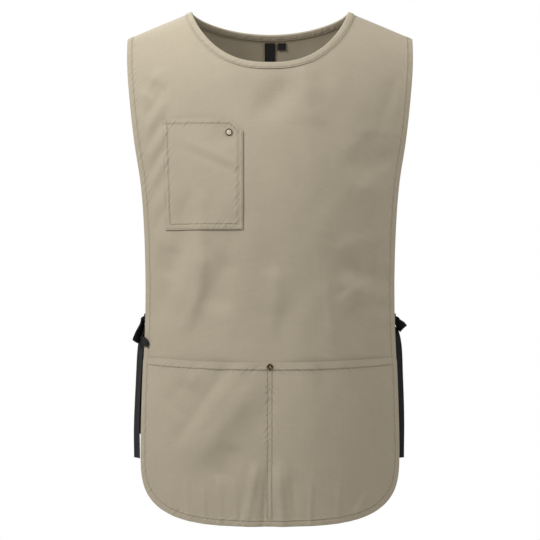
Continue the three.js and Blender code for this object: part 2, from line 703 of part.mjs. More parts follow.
function chestPocketGeometry() {
  const sheet = new Sheet(front);
  const straight = CHEST_COLUMNS - CORNER_COLUMNS;
  const topXs = shares(CHEST_COLUMNS).map((unused, i) => {
    const run = Math.min(i, straight) / straight;
    const corner = Math.max(i - straight, 0) / CORNER_COLUMNS;
    return chestOuter + (CHEST_POCKET_WIDTH - CUT_CORNER) * run + CUT_CORNER * corner;
  });
  const rowAt = (downOf) =>
    topXs.map((x, i) => {
      const down = downOf(chestMouthDown(x));
      const taper = CHEST_POCKET_TAPER * ((down - CHEST_POCKET_DOWN) / CHEST_POCKET_HEIGHT);
      return placeAt(x + taper * (1 - i / CHEST_COLUMNS), down);
    });
  const hemEnd = MOUTH_HEM_WIDTH + HEM_STEP;
  const rows = [
    rowAt((mouth) => mouth),
    rowAt((mouth) => mouth + MOUTH_HEM_WIDTH),
    ...shares(CHEST_ROWS).map((v) => rowAt((mouth) => mouth + hemEnd + (chestBottom - mouth - hemEnd) * v)),
  ];
  const vertices = rows.map((row, j) =>
    row.map((place) => {
      const hem = j < 2;
      const lift = chestLift(place) + (hem ? HEM_LIFT : 0);
      return sheet.add(place, hem ? MOUTH_HEM_THICKNESS : POCKET_CLOTH, lift);
    }),
  );
  for (let j = 1; j < vertices.length; j += 1) {
    sheet.join({ right: vertices[j - 1], left: [] }, { right: vertices[j], left: [] });
  }
  return sheet.geometry();
}

// Rivets: a ringed cap outside, a shank through the layers and a washer inside, pressed into one.
const RIVET_SIDES = 16;
const CAP_PROFILE = [
  { out: 0.96, up: 0 },
  { out: 1, up: 0.35 },
  { out: 0.9, up: 0.85 },
  { out: 0.76, up: 1 },
  { out: 0.6, up: 0.8 },
  { out: 0.5, up: 0.5 },
  { out: 0.3, up: 0.75 },
  { out: 0, up: 0.85 },
];

// The turn and place that set an upright piece on the front's cloth.
function placeOnFront(object, place) {
  object.quaternion.setFromUnitVectors(new THREE.Vector3(0, 1, 0), front.normal(place));
  object.position.copy(front.point(place));
  object.updateMatrixWorld(true);
  return object;
}

// How far a face of a piece of the front lies from the middle of its cloth, seen along a rivet's axis.
function faceLift(geometry, place, outermost) {
  const piece = new THREE.Mesh(geometry, new THREE.MeshBasicMaterial({ side: THREE.DoubleSide }));
  const normal = front.normal(place);
  const start = front.on(place, SIGHT);
  const hits = new THREE.Raycaster(start, normal.clone().negate()).intersectObject(piece);
  const depths = hits.map((hit) => SIGHT - hit.distance);
  return outermost ? Math.max(...depths) : Math.min(...depths.filter((depth) => depth > -SIGHT));
}

// A rivet through a pocket and the panel behind it, and both of them with its hole.
function riveted(pocket, panel, place, diameter) {
  const cap = diameter / 2;
  const shank = RIVET_SHANK_DIAMETER / 2;
  const inside = faceLift(panel, place, false) - RIVET_GAP;
  const seat = faceLift(pocket, place, true) + RIVET_GAP;
  const profile = [
    [0, inside - RIVET_WASHER],
    [cap * WASHER_SHARE, inside - RIVET_WASHER],
    [cap * WASHER_SHARE, inside],
    [shank, inside],
    [shank, seat],
    ...CAP_PROFILE.map(({ out, up }) => [cap * out, seat + RIVET_CAP * up]),
  ].map(([radius, height]) => new THREE.Vector2(radius, height));
  const rivet = new THREE.Mesh(new THREE.LatheGeometry(profile, RIVET_SIDES));
  const hole = shank + RIVET_HOLE_CLEARANCE;
  const drill = new THREE.Mesh(new THREE.CylinderGeometry(hole, hole, 2 * SIGHT, RIVET_SIDES));
  const solid = (mesh) => solidOf(mesh.geometry.applyMatrix4(placeOnFront(mesh, place).matrixWorld));
  const tool = solid(drill);
  return {
    rivet: geometryOf(solid(rivet)),
    pocket: geometryOf(solidOf(pocket).subtract(tool).simplify(SMALLEST_EDGE)),
    panel: geometryOf(solidOf(panel).subtract(tool).simplify(SMALLEST_EDGE)),
  };
}

// A label that lies on the inside of the back panel.
function labelGeometry(x, width, height) {
  const sheet = new Sheet(back);
  const top = BACK_NECK_DROP + BINDING_WIDTH + GAP;
  const rows = shares(LABEL_ROWS).map((v) =>
    shares(LABEL_COLUMNS).map((u) => {
      const place = placeAt(x + (u - 0.5) * width, top + height * v);
      return sheet.add(place, LABEL_THICKNESS, -(CLOTH / 2 + FACET_GAP + GAP + LABEL_THICKNESS / 2));
    }),
  );
  for (let j = 1; j < rows.length; j += 1) {
    sheet.join({ right: rows[j - 1], left: [] }, { right: rows[j], left: [] });
  }
  return sheet.geometry();
}

// Ties: places from a knot's middle are out from the wearer, forwards and up, in millimetres.
const TAPE_SECTION = [
  [-1, -1],
  [1, -1],
  [1, 1],
  [-1, 1],
];
const TAPE_STEPS = 2; // between two stations
const ROOT_INSETS = [26, 15, 8]; // where a tape lies on the inside of its panel's hem
const ROOT_LIFT = -(HEM_THICKNESS / 2 + GAP + FACET_GAP + TAPE_THICKNESS / 2);
const STRAND = TAPE_THICKNESS / 2 + GAP; // half the distance between the two strands in the knot
const WRAP_WIDTH = 8;
const WRAP_FORWARD = 3.8; // inner half sizes of the turn of tape round the knot
const WRAP_UP = 6.6;
const WRAP_SIDES = 14;
const WRAP_MIDDLE = WRAP_FORWARD + TAPE_THICKNESS / 2;
const UPRIGHT = [0, 0, 1];
const ACROSS = [-1, 0, 0];
const STEEP = [0.1, 0.85, 0.5];
const LOOP_START = [6.8, 0, -1];

// The tape of the front panel on its way into the knot, and out of it after its loop.
// A width is a share of the tape's, which is gathered in the knot, and lean is the way that it points.
const FRONT_TAPE_IN = [
  { out: -9, forward: 9, up: 0, width: 0.8, lean: UPRIGHT },
  { out: -6.5, forward: 2.6, up: 0, width: 0.55, lean: UPRIGHT },
  { out: -3, forward: STRAND, up: 0, width: 0.45, lean: UPRIGHT },
  { out: 5, forward: STRAND, up: -0.8, width: 0.4, lean: UPRIGHT },
];
const FRONT_TAPE_OUT = [
  { out: 5, forward: -STRAND, up: -0.8, width: 0.4, lean: UPRIGHT },
  { out: -3, forward: -STRAND, up: -0.5, width: 0.4, lean: UPRIGHT },
  { out: -6.2, forward: -STRAND, up: -2.5, width: 0.25, lean: [-0.6, 0, 0.8] },
  { out: -7.5, forward: -STRAND, up: -8, width: 0.3, lean: ACROSS },
];
// The tape of the back panel on its way to the turn round the knot, and from it to the tail.
const BACK_TAPE_IN = [
  { out: -8, forward: -9, up: 0, width: 0.7, lean: UPRIGHT },
  { out: -5, forward: -WRAP_MIDDLE - 1, up: 0, width: 0.45, lean: UPRIGHT },
  { out: 0, forward: -WRAP_MIDDLE, up: 0, width: 0.4, lean: UPRIGHT },
];
const BACK_TAPE_OUT = [
  { out: -2, forward: -WRAP_MIDDLE, up: 1, width: 0.35, lean: ACROSS },
  { out: -4, forward: -WRAP_MIDDLE - GAP, up: -9, width: 0.4, lean: ACROSS },
];
// How far each of a tail's stations is held off the front tape's tail, along its face.
const FRONT_TAIL_OFFS = [0, 0, 0, 0, 0];
const BACK_TAIL_OFFS = [-4.4, -4.8, -2, -2, -2];
// A loop runs out to its end, is folded over there and comes back beside itself.
const LOOP_STATIONS = [
  { way: 0.25, width: 0.42, off: 1.3 },
  { way: 0.65, width: 0.8, off: 1.5 },
  { way: 1, width: 0.95, off: 0.85 },
  { way: 1.02, width: 0.95, off: 0 },
  { way: 1, width: 0.95, off: -0.85 },
  { way: 0.65, width: 0.8, off: -1.5 },
  { way: 0.25, width: 0.42, off: -1.3 },
];
// The second loop comes off the front of the knot. It is tucked in behind the front panel,
// or comes down before that panel and lies folded over its edge.
const SECOND_LOOP_FORWARD = WRAP_MIDDLE + GAP;
const SECOND_LOOP_START = { out: 0, forward: SECOND_LOOP_FORWARD, up: 0, width: 0.3, lean: UPRIGHT };
const TUCKED_END = [-6, 11, -30];
const TUCKED_LEAN = [-0.55, 0.75, 0.31];
const COMING_DOWN = [
  { out: 1, forward: SECOND_LOOP_FORWARD + 2.5, up: -6, width: 0.4, lean: STEEP },
  { out: 2.5, forward: SECOND_LOOP_FORWARD + 6, up: -16, width: 0.45, lean: STEEP },
  { out: 4.8, forward: SECOND_LOOP_FORWARD + 9, up: -27, width: 0.5, lean: STEEP },
];
const OVER_EDGE_DOWN = 34; // how far below the knot it crosses the edge
const OVER_EDGE = [
  { inset: -3, lift: 2 },
  { inset: 0, lift: 2.6 },
  { inset: 4, lift: 2.3 },
  { inset: 8.6, lift: 2.6 },
  { inset: 9.2, lift: 3.4 },
  { inset: 8.4, lift: 4.2 },
  { inset: 3, lift: 4.2 },
  { inset: -1.5, lift: 3.8 },
];

// Named for the wearer's sides: the wearer's left is +X.
const TIES = {
  left: {
    hand: 1,
    loopEnd: [13, 0, -19],
    loopLean: [0.42, 0.75, 0.5],
    tailOut: 9,
    tailTop: 4.5,
    tailLean: [-0.8, 0.6, 0],
    overTheEdge: false,
  },
  right: {
    hand: -1,
    loopEnd: [14.5, 0, -37],
    loopLean: [0.4, 0.86, 0.32],
    tailOut: 14.5,
    tailTop: 5.5,
    tailLean: [-0.45, 0.89, 0],
    overTheEdge: true,
  },
};

// A tape follows stations, each with a place, a share of the tape's width and the direction of its width.
function tapeGeometry(stations) {
  const path = new THREE.CatmullRomCurve3(stations.map((s) => s.place), false, "centripetal");
  const spans = stations.length - 1;
  const rings = shares(spans * TAPE_STEPS).map((share, step) => {
    const k = Math.min(Math.floor(step / TAPE_STEPS), spans - 1);
    const part = step / TAPE_STEPS - k;
    const along = path.getTangent(share);
    const lean = stations[k].lean.clone().lerp(stations[k + 1].lean, part);
    lean.addScaledVector(along, -lean.dot(along)).normalize();
    const face = new THREE.Vector3().crossVectors(along, lean);
    const width = THREE.MathUtils.lerp(stations[k].width, stations[k + 1].width, part) * TAPE_WIDTH;
    return TAPE_SECTION.map(([across, off]) => {
      const corner = path.getPoint(share).addScaledVector(lean, (across * width) / 2);
      return corner.addScaledVector(face, (off * TAPE_THICKNESS) / 2);
    });
  });
  return ringGeometry(rings, false);
}

// The knot at one side, with the two tapes that are tied in it.
class Tie {
  constructor(settings) {
    Object.assign(this, settings);
    this.knotX = this.hand * (front.halfWidth(TIE_DOWN) - KNOT_IN);
  }

  at(out, forward, up) {
    return new THREE.Vector3(this.knotX + this.hand * out, -forward, SEAT_DROP - TIE_DOWN + up);
  }

  station({ out, forward, up, width, lean }) {
    const direction = new THREE.Vector3(this.hand * lean[0], -lean[1], lean[2]).normalize();
    return { place: this.at(out, forward, up), width, lean: direction };
  }

  // A station over or under a panel, at an inset from its side edge.
  besideEdge(panel, inset, down, lift, width) {
    const x = this.hand * (panel.halfWidth(TIE_DOWN + down) - inset);
    const place = panel.on(placeAt(x, TIE_DOWN + down), lift);
    return { place, width, lean: new THREE.Vector3(...UPRIGHT) };
  }

  // Where a tape is sewn to the inside of a panel's hem, and leaves it beside the edge.
  root(panel) {
    return ROOT_INSETS.map((inset) => this.besideEdge(panel, inset, 0, ROOT_LIFT, 1));
  }

  // A tail spreads out below the knot and hangs down beside the wearer.
  tail(length, offs) {
    const { tailTop, tailOut, tailLean } = this;
    const rows = [
      { out: -5.5, up: -18, width: 0.6, lean: ACROSS },
      { out: tailTop, up: -38, width: 0.95, lean: tailLean },
      { out: tailOut * 0.85, up: -TAIL_LENGTH * 0.45, width: 1, lean: tailLean },
      { out: tailOut, up: -TAIL_LENGTH * 0.75, width: 1, lean: tailLean },
      { out: tailOut, up: -length, width: 1, lean: tailLean },
    ];
    return rows.map((row, i) => {
      const out = row.out + offs[i] * row.lean[1];
      return this.station({ ...row, out, forward: -STRAND - offs[i] * row.lean[0] });
    });
  }

  // A flat loop from start to end, whose width points along lean.
  loop(start, end, lean) {
    const from = new THREE.Vector3(...start);
    const to = new THREE.Vector3(...end);
    const along = to.clone().sub(from).normalize();
    const across = new THREE.Vector3(...lean);
    across.addScaledVector(along, -across.dot(along)).normalize();
    const face = along.clone().cross(across);
    if (face.y < 0) face.negate();
    return LOOP_STATIONS.map(({ way, width, off }) => {
      const [out, forward, up] = from.clone().lerp(to, way).addScaledVector(face, off * STRAND).toArray();
      return this.station({ out, forward, up, width, lean: across.toArray() });
    });
  }

  // The tape of the front panel: through the knot, out in a loop and back, and down as the tail.
  frontTape() {
    return tapeGeometry([
      ...this.root(front),
      ...FRONT_TAPE_IN.map((row) => this.station(row)),
      ...this.loop(LOOP_START, this.loopEnd, this.loopLean),
      ...FRONT_TAPE_OUT.map((row) => this.station(row)),
      ...this.tail(TAIL_LENGTH, FRONT_TAIL_OFFS),
    ]);
  }

  // The tape of the back panel: once round the front tape, out in the second loop, and down as the tail.
  backTape() {
    const lengths = [
      [...this.root(back), ...BACK_TAPE_IN.map((row) => this.station(row))],
      [...BACK_TAPE_OUT.map((row) => this.station(row)), ...this.tail(BACK_TAIL_LENGTH, BACK_TAIL_OFFS)],
      this.secondLoop(),
    ];
    const solids = lengths.map((stations) => solidOf(tapeGeometry(stations)));
    const whole = solids.reduce((joined, solid) => joined.add(solid), solidOf(this.wrapGeometry()));
    return geometryOf(whole.simplify(SMALLEST_EDGE));
  }

  wrapGeometry() {
    const turns = shares(WRAP_SIDES).slice(1);
    const rings = turns.map((share) =>
      TAPE_SECTION.map(([across, wall]) => {
        const turn = 2 * Math.PI * share;
        const off = ((wall + 1) / 2) * TAPE_THICKNESS;
        const forward = Math.cos(turn) * (WRAP_FORWARD + off);
        return this.at((across * WRAP_WIDTH) / 2, forward, Math.sin(turn) * (WRAP_UP + off));
      }),
    );
    return ringGeometry(rings, true);
  }

  secondLoop() {
    const start = this.station(SECOND_LOOP_START);
    if (!this.overTheEdge) {
      return [start, ...this.loop([-1, SECOND_LOOP_FORWARD, -1], TUCKED_END, TUCKED_LEAN)];
    }
    return [
      start,
      ...COMING_DOWN.map((row) => this.station(row)),
      ...OVER_EDGE.map(({ inset, lift }) => this.besideEdge(front, inset, OVER_EDGE_DOWN, lift, 0.5)),
    ];
  }
}

const twill = new THREE.MeshStandardMaterial({ color: 0xb2a78f, roughness: 0.9, metalness: 0 });
const tape = new THREE.MeshStandardMaterial({ color: 0x1d1d22, roughness: 0.8, metalness: 0 });
const label = new THREE.MeshStandardMaterial({ color: 0x0f1014, roughness: 0.5, metalness: 0 });
const brass = new THREE.MeshStandardMaterial({ color: 0x6e5b34, roughness: 0.4, metalness: 0.9 });

const apron = new THREE.Group();

function addPiece(name, geometry, material) {
  const piece = new THREE.Mesh(geometry, material);
  piece.name = name;
  apron.add(piece);
}

const below = riveted(lowerPocketGeometry(), panelGeometry(front), pocketRivet, POCKET_RIVET_DIAMETER);
const above = riveted(chestPocketGeometry(), below.panel, chestRivet, CHEST_RIVET_DIAMETER);
addPiece("front_panel", above.panel, twill);
addPiece("back_panel", panelGeometry(back), twill);
addPiece("neck_binding", bindingGeometry(), twill);
addPiece("lower_pocket", below.pocket, twill);
addPiece("chest_pocket", above.pocket, twill);
addPiece("pocket_rivet", below.rivet, brass);
addPiece("chest_rivet", above.rivet, brass);
addPiece("neck_label", labelGeometry(0, NECK_LABEL_WIDTH, NECK_LABEL_HEIGHT), label);
addPiece("size_label", labelGeometry(SIZE_LABEL_X, SIZE_LABEL_WIDTH, SIZE_LABEL_HEIGHT), label);
for (const [name, settings] of Object.entries(TIES)) {
  const tie = new Tie(settings);
  addPiece(`${name}_front_tape`, tie.frontTape(), tape);
  addPiece(`${name}_back_tape`, tie.backTape(), tape);
}

export default apron;
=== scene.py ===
"""A cobbler apron of tan twill with black tape ties, in the form that it has when it is worn.

Each cloth piece is cut flat on the pattern of its panel, then hung on the panel's form. Places on
the pattern are x, and the way over the cloth from the shoulder line, in millimetres.
"""

import logging
import math
from collections.abc import Callable, Sequence
from dataclasses import dataclass, field, replace
from enum import Enum

import bmesh
import bpy
import numpy as np
from mathutils import Matrix, Vector

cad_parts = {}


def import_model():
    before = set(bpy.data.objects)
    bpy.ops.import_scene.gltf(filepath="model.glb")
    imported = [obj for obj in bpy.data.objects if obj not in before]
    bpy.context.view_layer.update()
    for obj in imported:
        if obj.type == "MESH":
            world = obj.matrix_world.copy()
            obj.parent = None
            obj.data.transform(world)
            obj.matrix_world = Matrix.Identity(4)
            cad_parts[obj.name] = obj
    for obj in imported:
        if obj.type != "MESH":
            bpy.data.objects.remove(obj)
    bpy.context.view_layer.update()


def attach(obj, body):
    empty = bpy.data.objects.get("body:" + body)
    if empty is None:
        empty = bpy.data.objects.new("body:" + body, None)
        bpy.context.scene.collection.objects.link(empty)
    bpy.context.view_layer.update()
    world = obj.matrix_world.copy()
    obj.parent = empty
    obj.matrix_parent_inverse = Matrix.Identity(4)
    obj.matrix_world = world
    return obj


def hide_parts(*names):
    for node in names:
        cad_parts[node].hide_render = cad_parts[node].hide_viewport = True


LOG = logging.getLogger("apron")
MM = 0.001
Array = np.ndarray
Socket = bpy.types.NodeSocket
Triple = tuple[float, float, float]

# The cut of the panels, in millimetres.
BODY_LENGTH = 745.0
NECK_WIDTH = 232.0
SHOULDER_WIDTH = 420.0
SHOULDER_DROP = 39.0
SHOULDER_ROLL = 140.0
RIDGE_ROUNDING = 60.0
HEM_CORNER_HEIGHT = 101.0
SEAT_DROP = SHOULDER_DROP / 2
HEM_ACROSS = 3.9
HEM_DOWN = 3.5
HEM_WIDTH = 9.0
HEM_END = 10.2
HEM_SEAM = 7.5
BINDING_WIDTH = 9.5
CORNER_SHARE = 0.3
FINE = 400

# Pockets.
POCKET_MOUTH_DOWN = 512.0
POCKET_MOUTH_LIFT = 6.0
MOUTH_HEM_WIDTH = 12.5
MOUTH_SEAM = 11.0
DIVIDING_SEAM_WIDTH = 8.0
MOUTH_POUTS = (-77.0, 58.0)
POUT_WIDTH = 15.0
CENTRE_SEAM = 3.2
PINCH_REACH = 20.0
CHEST_WIDTH = 117.0
CHEST_HEIGHT = 158.0
CHEST_INNER = -38.5
CHEST_DOWN = 164.0
CHEST_TAPER = 5.0
CHEST_RISE = 2.5
CUT_CORNER = 18.0
CHEST_RIVET_INSET = 19.5
CHEST_RIVET_DOWN = 19.5
POCKET_RIVET_DOWN = 6.0

# Ties.
TAPE_WIDTH = 20.0
TAPE_CLOTH = 0.8
TIE_DOWN = 452.0
TAIL_LENGTH = 206.0
BACK_TAIL_LENGTH = 170.0
KNOT_IN = 1.0
STRAND = 0.8
WRAP_WIDTH = 8.0
WRAP_FORWARD = 4.3
WRAP_UP = 7.1

# Thickness of the cloth where it lies single, and where a hem is folded.
CLOTH = 1.0
HEM_CLOTH = 1.8

# The cloth's linear colour, and how far in from an edge most of its seams run, in metres.
TAN = (0.412, 0.361, 0.272)
SEAM_INSET = 0.0075


class Side(Enum):
    """Which panel a piece belongs to, as the way that it faces along Y."""

    FRONT = -1
    BACK = 1


@dataclass(frozen=True)
class Section:
    """Outline and depth of a panel at one height.

    Attributes:
        down: height below the neck points, as a share of the body length.
        half: half the width, as a share of half the shoulder width.
        centre: depth at the middle, as a share of the panel's depth.
        edge: depth at the side edge, as a share of it.
        power: how flat the panel is before it turns to the edge.
    """

    down: float
    half: float
    centre: float
    edge: float
    power: float


@dataclass(frozen=True)
class Crease:
    """A fold in the cloth along a bent path.

    Attributes:
        path: its places, x as a share of half the shoulder width and down of the body length, or
            both in the photograph's pixels where it was read off there.
        width: as a share of FOLD_WIDTH.
        height: as a share of FOLD_HEIGHT, below 0 for a valley.
    """

    path: tuple[tuple[float, float], ...]
    width: float
    height: float


FRONT_SECTIONS = (
    Section(0.0, 1.0, 0.78, 0.26, 2.0),
    Section(0.1, 0.998, 0.86, 0.3, 2.0),
    Section(0.18, 0.975, 0.92, 0.32, 2.0),
    Section(0.26, 0.942, 0.97, 0.33, 2.1),
    Section(0.34, 0.899, 1.0, 0.31, 2.2),
    Section(0.42, 0.878, 1.0, 0.26, 2.3),
    Section(0.52, 0.869, 0.97, 0.18, 2.5),
    Section(0.62, 0.873, 0.95, 0.15, 2.6),
    Section(0.74, 0.89, 0.97, 0.18, 2.5),
    Section(0.86, 0.899, 0.99, 0.23, 2.4),
    Section(1.0, 0.892, 1.0, 0.27, 2.4),
)
BACK_SECTIONS = (
    Section(0.0, 1.0, 0.62, 0.26, 2.0),
    Section(0.1, 0.985, 0.84, 0.32, 2.2),
    Section(0.2, 0.945, 0.97, 0.33, 2.3),
    Section(0.3, 0.895, 1.0, 0.28, 2.4),
    Section(0.42, 0.856, 0.93, 0.2, 2.5),
    Section(0.55, 0.846, 0.84, 0.13, 2.6),
    Section(0.7, 0.858, 0.9, 0.17, 2.5),
    Section(0.86, 0.868, 0.97, 0.24, 2.4),
    Section(1.0, 0.862, 1.0, 0.28, 2.4),
)

# The large soft folds, and then the finer ones.
FOLD_WIDTH = 40.0
FOLD_HEIGHT = 6.0
FOLD_TAPER = 0.3

# The cloth's small waves across and down, and its ripples: their pitch, that of their sway, and how
# far they sway.
WAVES_ACROSS = (17.3, 61.0, 2.1)
WAVES_DOWN = (29.0, 47.0, 1.7)
RIPPLES = (8.1, 23.0, 1.3)
RIPPLE_SLANT = 8.1 / 33
RIPPLE_SHARE = 0.6
FRONT_FOLDS = (
    Crease(((-0.66, 0.6), (-0.43, 0.46)), 0.6, 0.75),
    Crease(((-0.72, 0.53), (-0.66, 0.46)), 0.45, -0.5),
    Crease(((-0.36, 0.6), (-0.3, 0.47)), 0.55, -0.55),
    Crease(((0.0, 0.6), (0.02, 0.5)), 0.6, 0.25),
    Crease(((0.64, 0.58), (0.55, 0.54)), 0.6, 0.5),
    Crease(((0.74, 0.5), (0.62, 0.49)), 0.55, -0.7),
    Crease(((0.84, 0.31), (0.62, 0.25)), 0.6, -0.6),
    Crease(((0.82, 0.38), (0.6, 0.34)), 0.5, 0.4),
    Crease(((0.3, 0.14), (0.26, 0.24)), 0.5, 0.4),
    Crease(((0.16, 0.15), (-0.06, 0.22)), 0.5, -0.4),
    Crease(((-0.86, 0.17), (-0.78, 0.14)), 0.35, -0.5),
    Crease(((-0.12, 0.72), (-0.56, 0.9)), 0.5, 0.7),
    Crease(((-0.5, 0.72), (-0.66, 0.8)), 0.5, -0.45),
    Crease(((-0.22, 0.84), (-0.34, 0.92)), 0.45, -0.4),
    Crease(((-0.08, 0.86), (-0.14, 1.06)), 0.3, 0.5),
    Crease(((0.07, 0.86), (0.09, 1.06)), 0.28, 0.45),
)
BACK_FOLDS = (
    Crease(((-0.45, 0.35), (-0.5, 1.06)), 0.9, 0.5),
    Crease(((-0.12, 0.5), (-0.16, 1.06)), 0.8, -0.5),
    Crease(((0.2, 0.42), (0.24, 1.06)), 0.9, 0.6),
    Crease(((0.56, 0.5), (0.52, 1.06)), 0.7, -0.4),
)

# The photograph's middle in pixels, the height that it shows there in millimetres, and pixels to a
# millimetre at the front of the cloth.
PHOTO_MIDDLE = 270.0
PHOTO_HEIGHT = -360.5
PHOTO_SCALE = 0.7014

# Creases too fine for the solid model, the front's read off the photograph in its pixels.
FRONT_CREASES = (
    Crease(((204, 190), (204, 213), (200, 247), (200, 287), (189, 317), (166, 343)), 0.26, 0.6),
    Crease(((186, 190), (181, 240), (167, 295), (148, 335)), 0.36, -0.62),
    Crease(((234, 195), (228, 247), (216, 285), (202, 322), (188, 352)), 0.42, -0.3),
    Crease(((157, 225), (150, 290)), 0.25, 0.25),
    Crease(((276, 255), (274, 345)), 0.2, 0.28),
    Crease(((292, 255), (290, 345)), 0.35, -0.06),
    Crease(((325, 275), (335, 348)), 0.2, 0.25),
    Crease(((330, 250), (402, 232)), 0.28, 0.42),
    Crease(((330, 263), (404, 286)), 0.28, -0.62),
    Crease(((332, 280), (402, 303)), 0.24, 0.45),
    Crease(((374, 306), (402, 310)), 0.1, -0.25),
    Crease(((370, 318), (402, 322)), 0.1, 0.22),
    Crease(((370, 329), (402, 331)), 0.1, -0.22),
    Crease(((335, 147), (412, 140)), 0.32, 0.2),
    Crease(((335, 166), (412, 158)), 0.34, -0.3),
    Crease(((342, 184), (410, 188)), 0.32, 0.28),
    Crease(((345, 128), (410, 132)), 0.18, 0.15),
    Crease(((403, 64), (380, 128)), 0.22, -0.3),
    Crease(((160, 62), (138, 100)), 0.14, 0.42),
    Crease(((170, 75), (140, 119)), 0.14, -0.42),
    Crease(((169, 92), (140, 134)), 0.13, 0.36),
    Crease(((169, 108), (141, 149)), 0.13, -0.3),
    Crease(((169, 122), (142, 163)), 0.13, 0.3),
    Crease(((169, 137), (143, 178)), 0.12, -0.26),
    Crease(((169, 150), (144, 192)), 0.12, 0.24),
    Crease(((169, 166), (145, 206)), 0.12, -0.2),
    Crease(((169, 182), (147, 219)), 0.12, 0.2),
    Crease(((169, 199), (150, 235)), 0.12, -0.18),
    Crease(((298, 72), (240, 128)), 0.4, -0.24),
    Crease(((311, 58), (299, 118)), 0.35, 0.2),
    Crease(((328, 55), (316, 122)), 0.4, -0.1),
    Crease(((173, 134), (253, 171)), 0.14, 0.09),
    Crease(((173, 143), (253, 180)), 0.16, -0.1),
    Crease(((193, 188), (176, 225)), 0.22, -0.22),
    Crease(((205, 185), (194, 240)), 0.2, 0.24),
    Crease(((250, 358), (200, 427), (165, 480)), 0.3, 0.42),
    Crease(((270, 362), (234, 408), (187, 467), (165, 495)), 0.3, 0.27),
    Crease(((238, 352), (200, 410), (160, 468)), 0.24, -0.34),
    Crease(((258, 380), (222, 420), (178, 478)), 0.25, -0.1),
    Crease(((286, 372), (250, 432), (212, 492)), 0.42, -0.1),
    Crease(((206, 366), (186, 392)), 0.15, 0.2),
    Crease(((190, 378), (164, 408)), 0.2, -0.25),
    Crease(((258, 455), (243, 536)), 0.13, 0.46),
    Crease(((268, 460), (262, 536)), 0.11, -0.34),
    Crease(((276, 460), (284, 534)), 0.13, 0.42),
    Crease(((290, 465), (297, 530)), 0.13, -0.2),
    Crease(((150, 342), (158, 356)), 0.08, -0.15),
    Crease(((169, 472), (175, 545)), 0.085, 0.26),
    Crease(((186, 472), (190, 545)), 0.085, 0.26),
    Crease(((202, 472), (206, 545)), 0.085, 0.3),
    Crease(((219, 472), (221, 545)), 0.085, 0.3),
    Crease(((235, 472), (237, 545)), 0.085, 0.24),
    Crease(((311, 472), (309, 545)), 0.085, 0.2),
    Crease(((340, 472), (336, 545)), 0.085, 0.16),
    Crease(((370, 492), (352, 520)), 0.1, 0.2),
)
BACK_CREASES = (
    Crease(((-0.46, 0.38), (-0.43, 0.49), (-0.33, 0.62)), 0.25, 0.37),
    Crease(((0.47, 0.36), (0.43, 0.47), (0.31, 0.63)), 0.25, 0.35),
    Crease(((-0.22, 0.49), (-0.2, 0.76)), 0.23, -0.28),
    Crease(((0.2, 0.51), (0.22, 0.8)), 0.23, 0.28),
    Crease(((-0.75, 0.57), (-0.54, 0.59)), 0.17, 0.28),
    Crease(((-0.76, 0.6), (-0.57, 0.61)), 0.15, -0.26),
    Crease(((0.77, 0.56), (0.56, 0.59)), 0.17, 0.28),
    Crease(((0.77, 0.6), (0.56, 0.61)), 0.15, -0.26),
    Crease(((-0.81, 0.2), (-0.68, 0.24)), 0.17, 0.28),
    Crease(((-0.83, 0.26), (-0.67, 0.28)), 0.17, -0.26),
    Crease(((0.85, 0.19), (0.71, 0.23)), 0.17, 0.3),
    Crease(((0.84, 0.26), (0.68, 0.28)), 0.17, -0.26),
    Crease(((0.0, 0.17), (-0.01, 0.32)), 0.3, 0.21),
    Crease(((-0.37, 0.82), (-0.42, 0.98)), 0.23, 0.33),
    Crease(((0.37, 0.81), (0.44, 0.97)), 0.23, -0.3),
    Crease(((-0.05, 0.83), (-0.07, 0.98)), 0.2, 0.23),
)


def clamp(values: Array) -> Array:
    """Returns the values held between 0 and 1."""
    return np.clip(values, 0.0, 1.0)


def column_at(rows: Sequence[Section], column: str, at: Array) -> Array:
    """Interpolates one column of a section table smoothly.

    Args:
        rows: the table, from the top down.
        column: the name of the column.
        at: shares of the body length.

    Returns:
        The column's value at each share.
    """
    downs = np.array([row.down for row in rows])
    values = np.array([getattr(row, column) for row in rows])
    slopes = np.empty_like(values)
    slopes[1:-1] = (values[2:] - values[:-2]) / (downs[2:] - downs[:-2])
    slopes[0] = (values[1] - values[0]) / (downs[1] - downs[0])
    slopes[-1] = (values[-1] - values[-2]) / (downs[-1] - downs[-2])
    i = np.clip(np.searchsorted(downs, at, side="left") - 1, 0, len(downs) - 2)
    span = downs[i + 1] - downs[i]
    t = clamp((at - downs[i]) / span)
    reached = 3 * t**2 - 2 * t**3
    between = (1 - reached) * values[i] + reached * values[i + 1]
    return between + ((t**3 - 2 * t**2 + t) * slopes[i] + (t**3 - t**2) * slopes[i + 1]) * span


def ridge_down(x: Array) -> Array:
    """Returns how far the shoulder line lies below the neck points at x."""
    near, far = (math.hypot(width / 2, RIDGE_ROUNDING) for width in (NECK_WIDTH, SHOULDER_WIDTH))
    return SHOULDER_DROP / (far - near) * (np.hypot(x, RIDGE_ROUNDING) - near)


def down_at(places: Array) -> Array:
    """Returns the height below the neck points of places on the pattern."""
    angle = np.minimum(places[..., 1] / SHOULDER_ROLL, math.pi / 2)
    return ridge_down(places[..., 0]) + SHOULDER_ROLL * (1 - np.cos(angle) - angle) + places[..., 1]


def place_at(x: Array, down: Array) -> Array:
    """Finds places on the pattern by their height.

    Args:
        x: where they are across.
        down: how far they lie below the neck points.

    Returns:
        The places.
    """
    x, down = np.broadcast_arrays(np.asarray(x, float), np.asarray(down, float))
    drop = np.maximum(down - ridge_down(x), 0)
    rest = np.maximum(drop - SHOULDER_ROLL, 0)
    return np.stack([x, SHOULDER_ROLL * np.arccos(1 - (drop - rest) / SHOULDER_ROLL) + rest], -1)


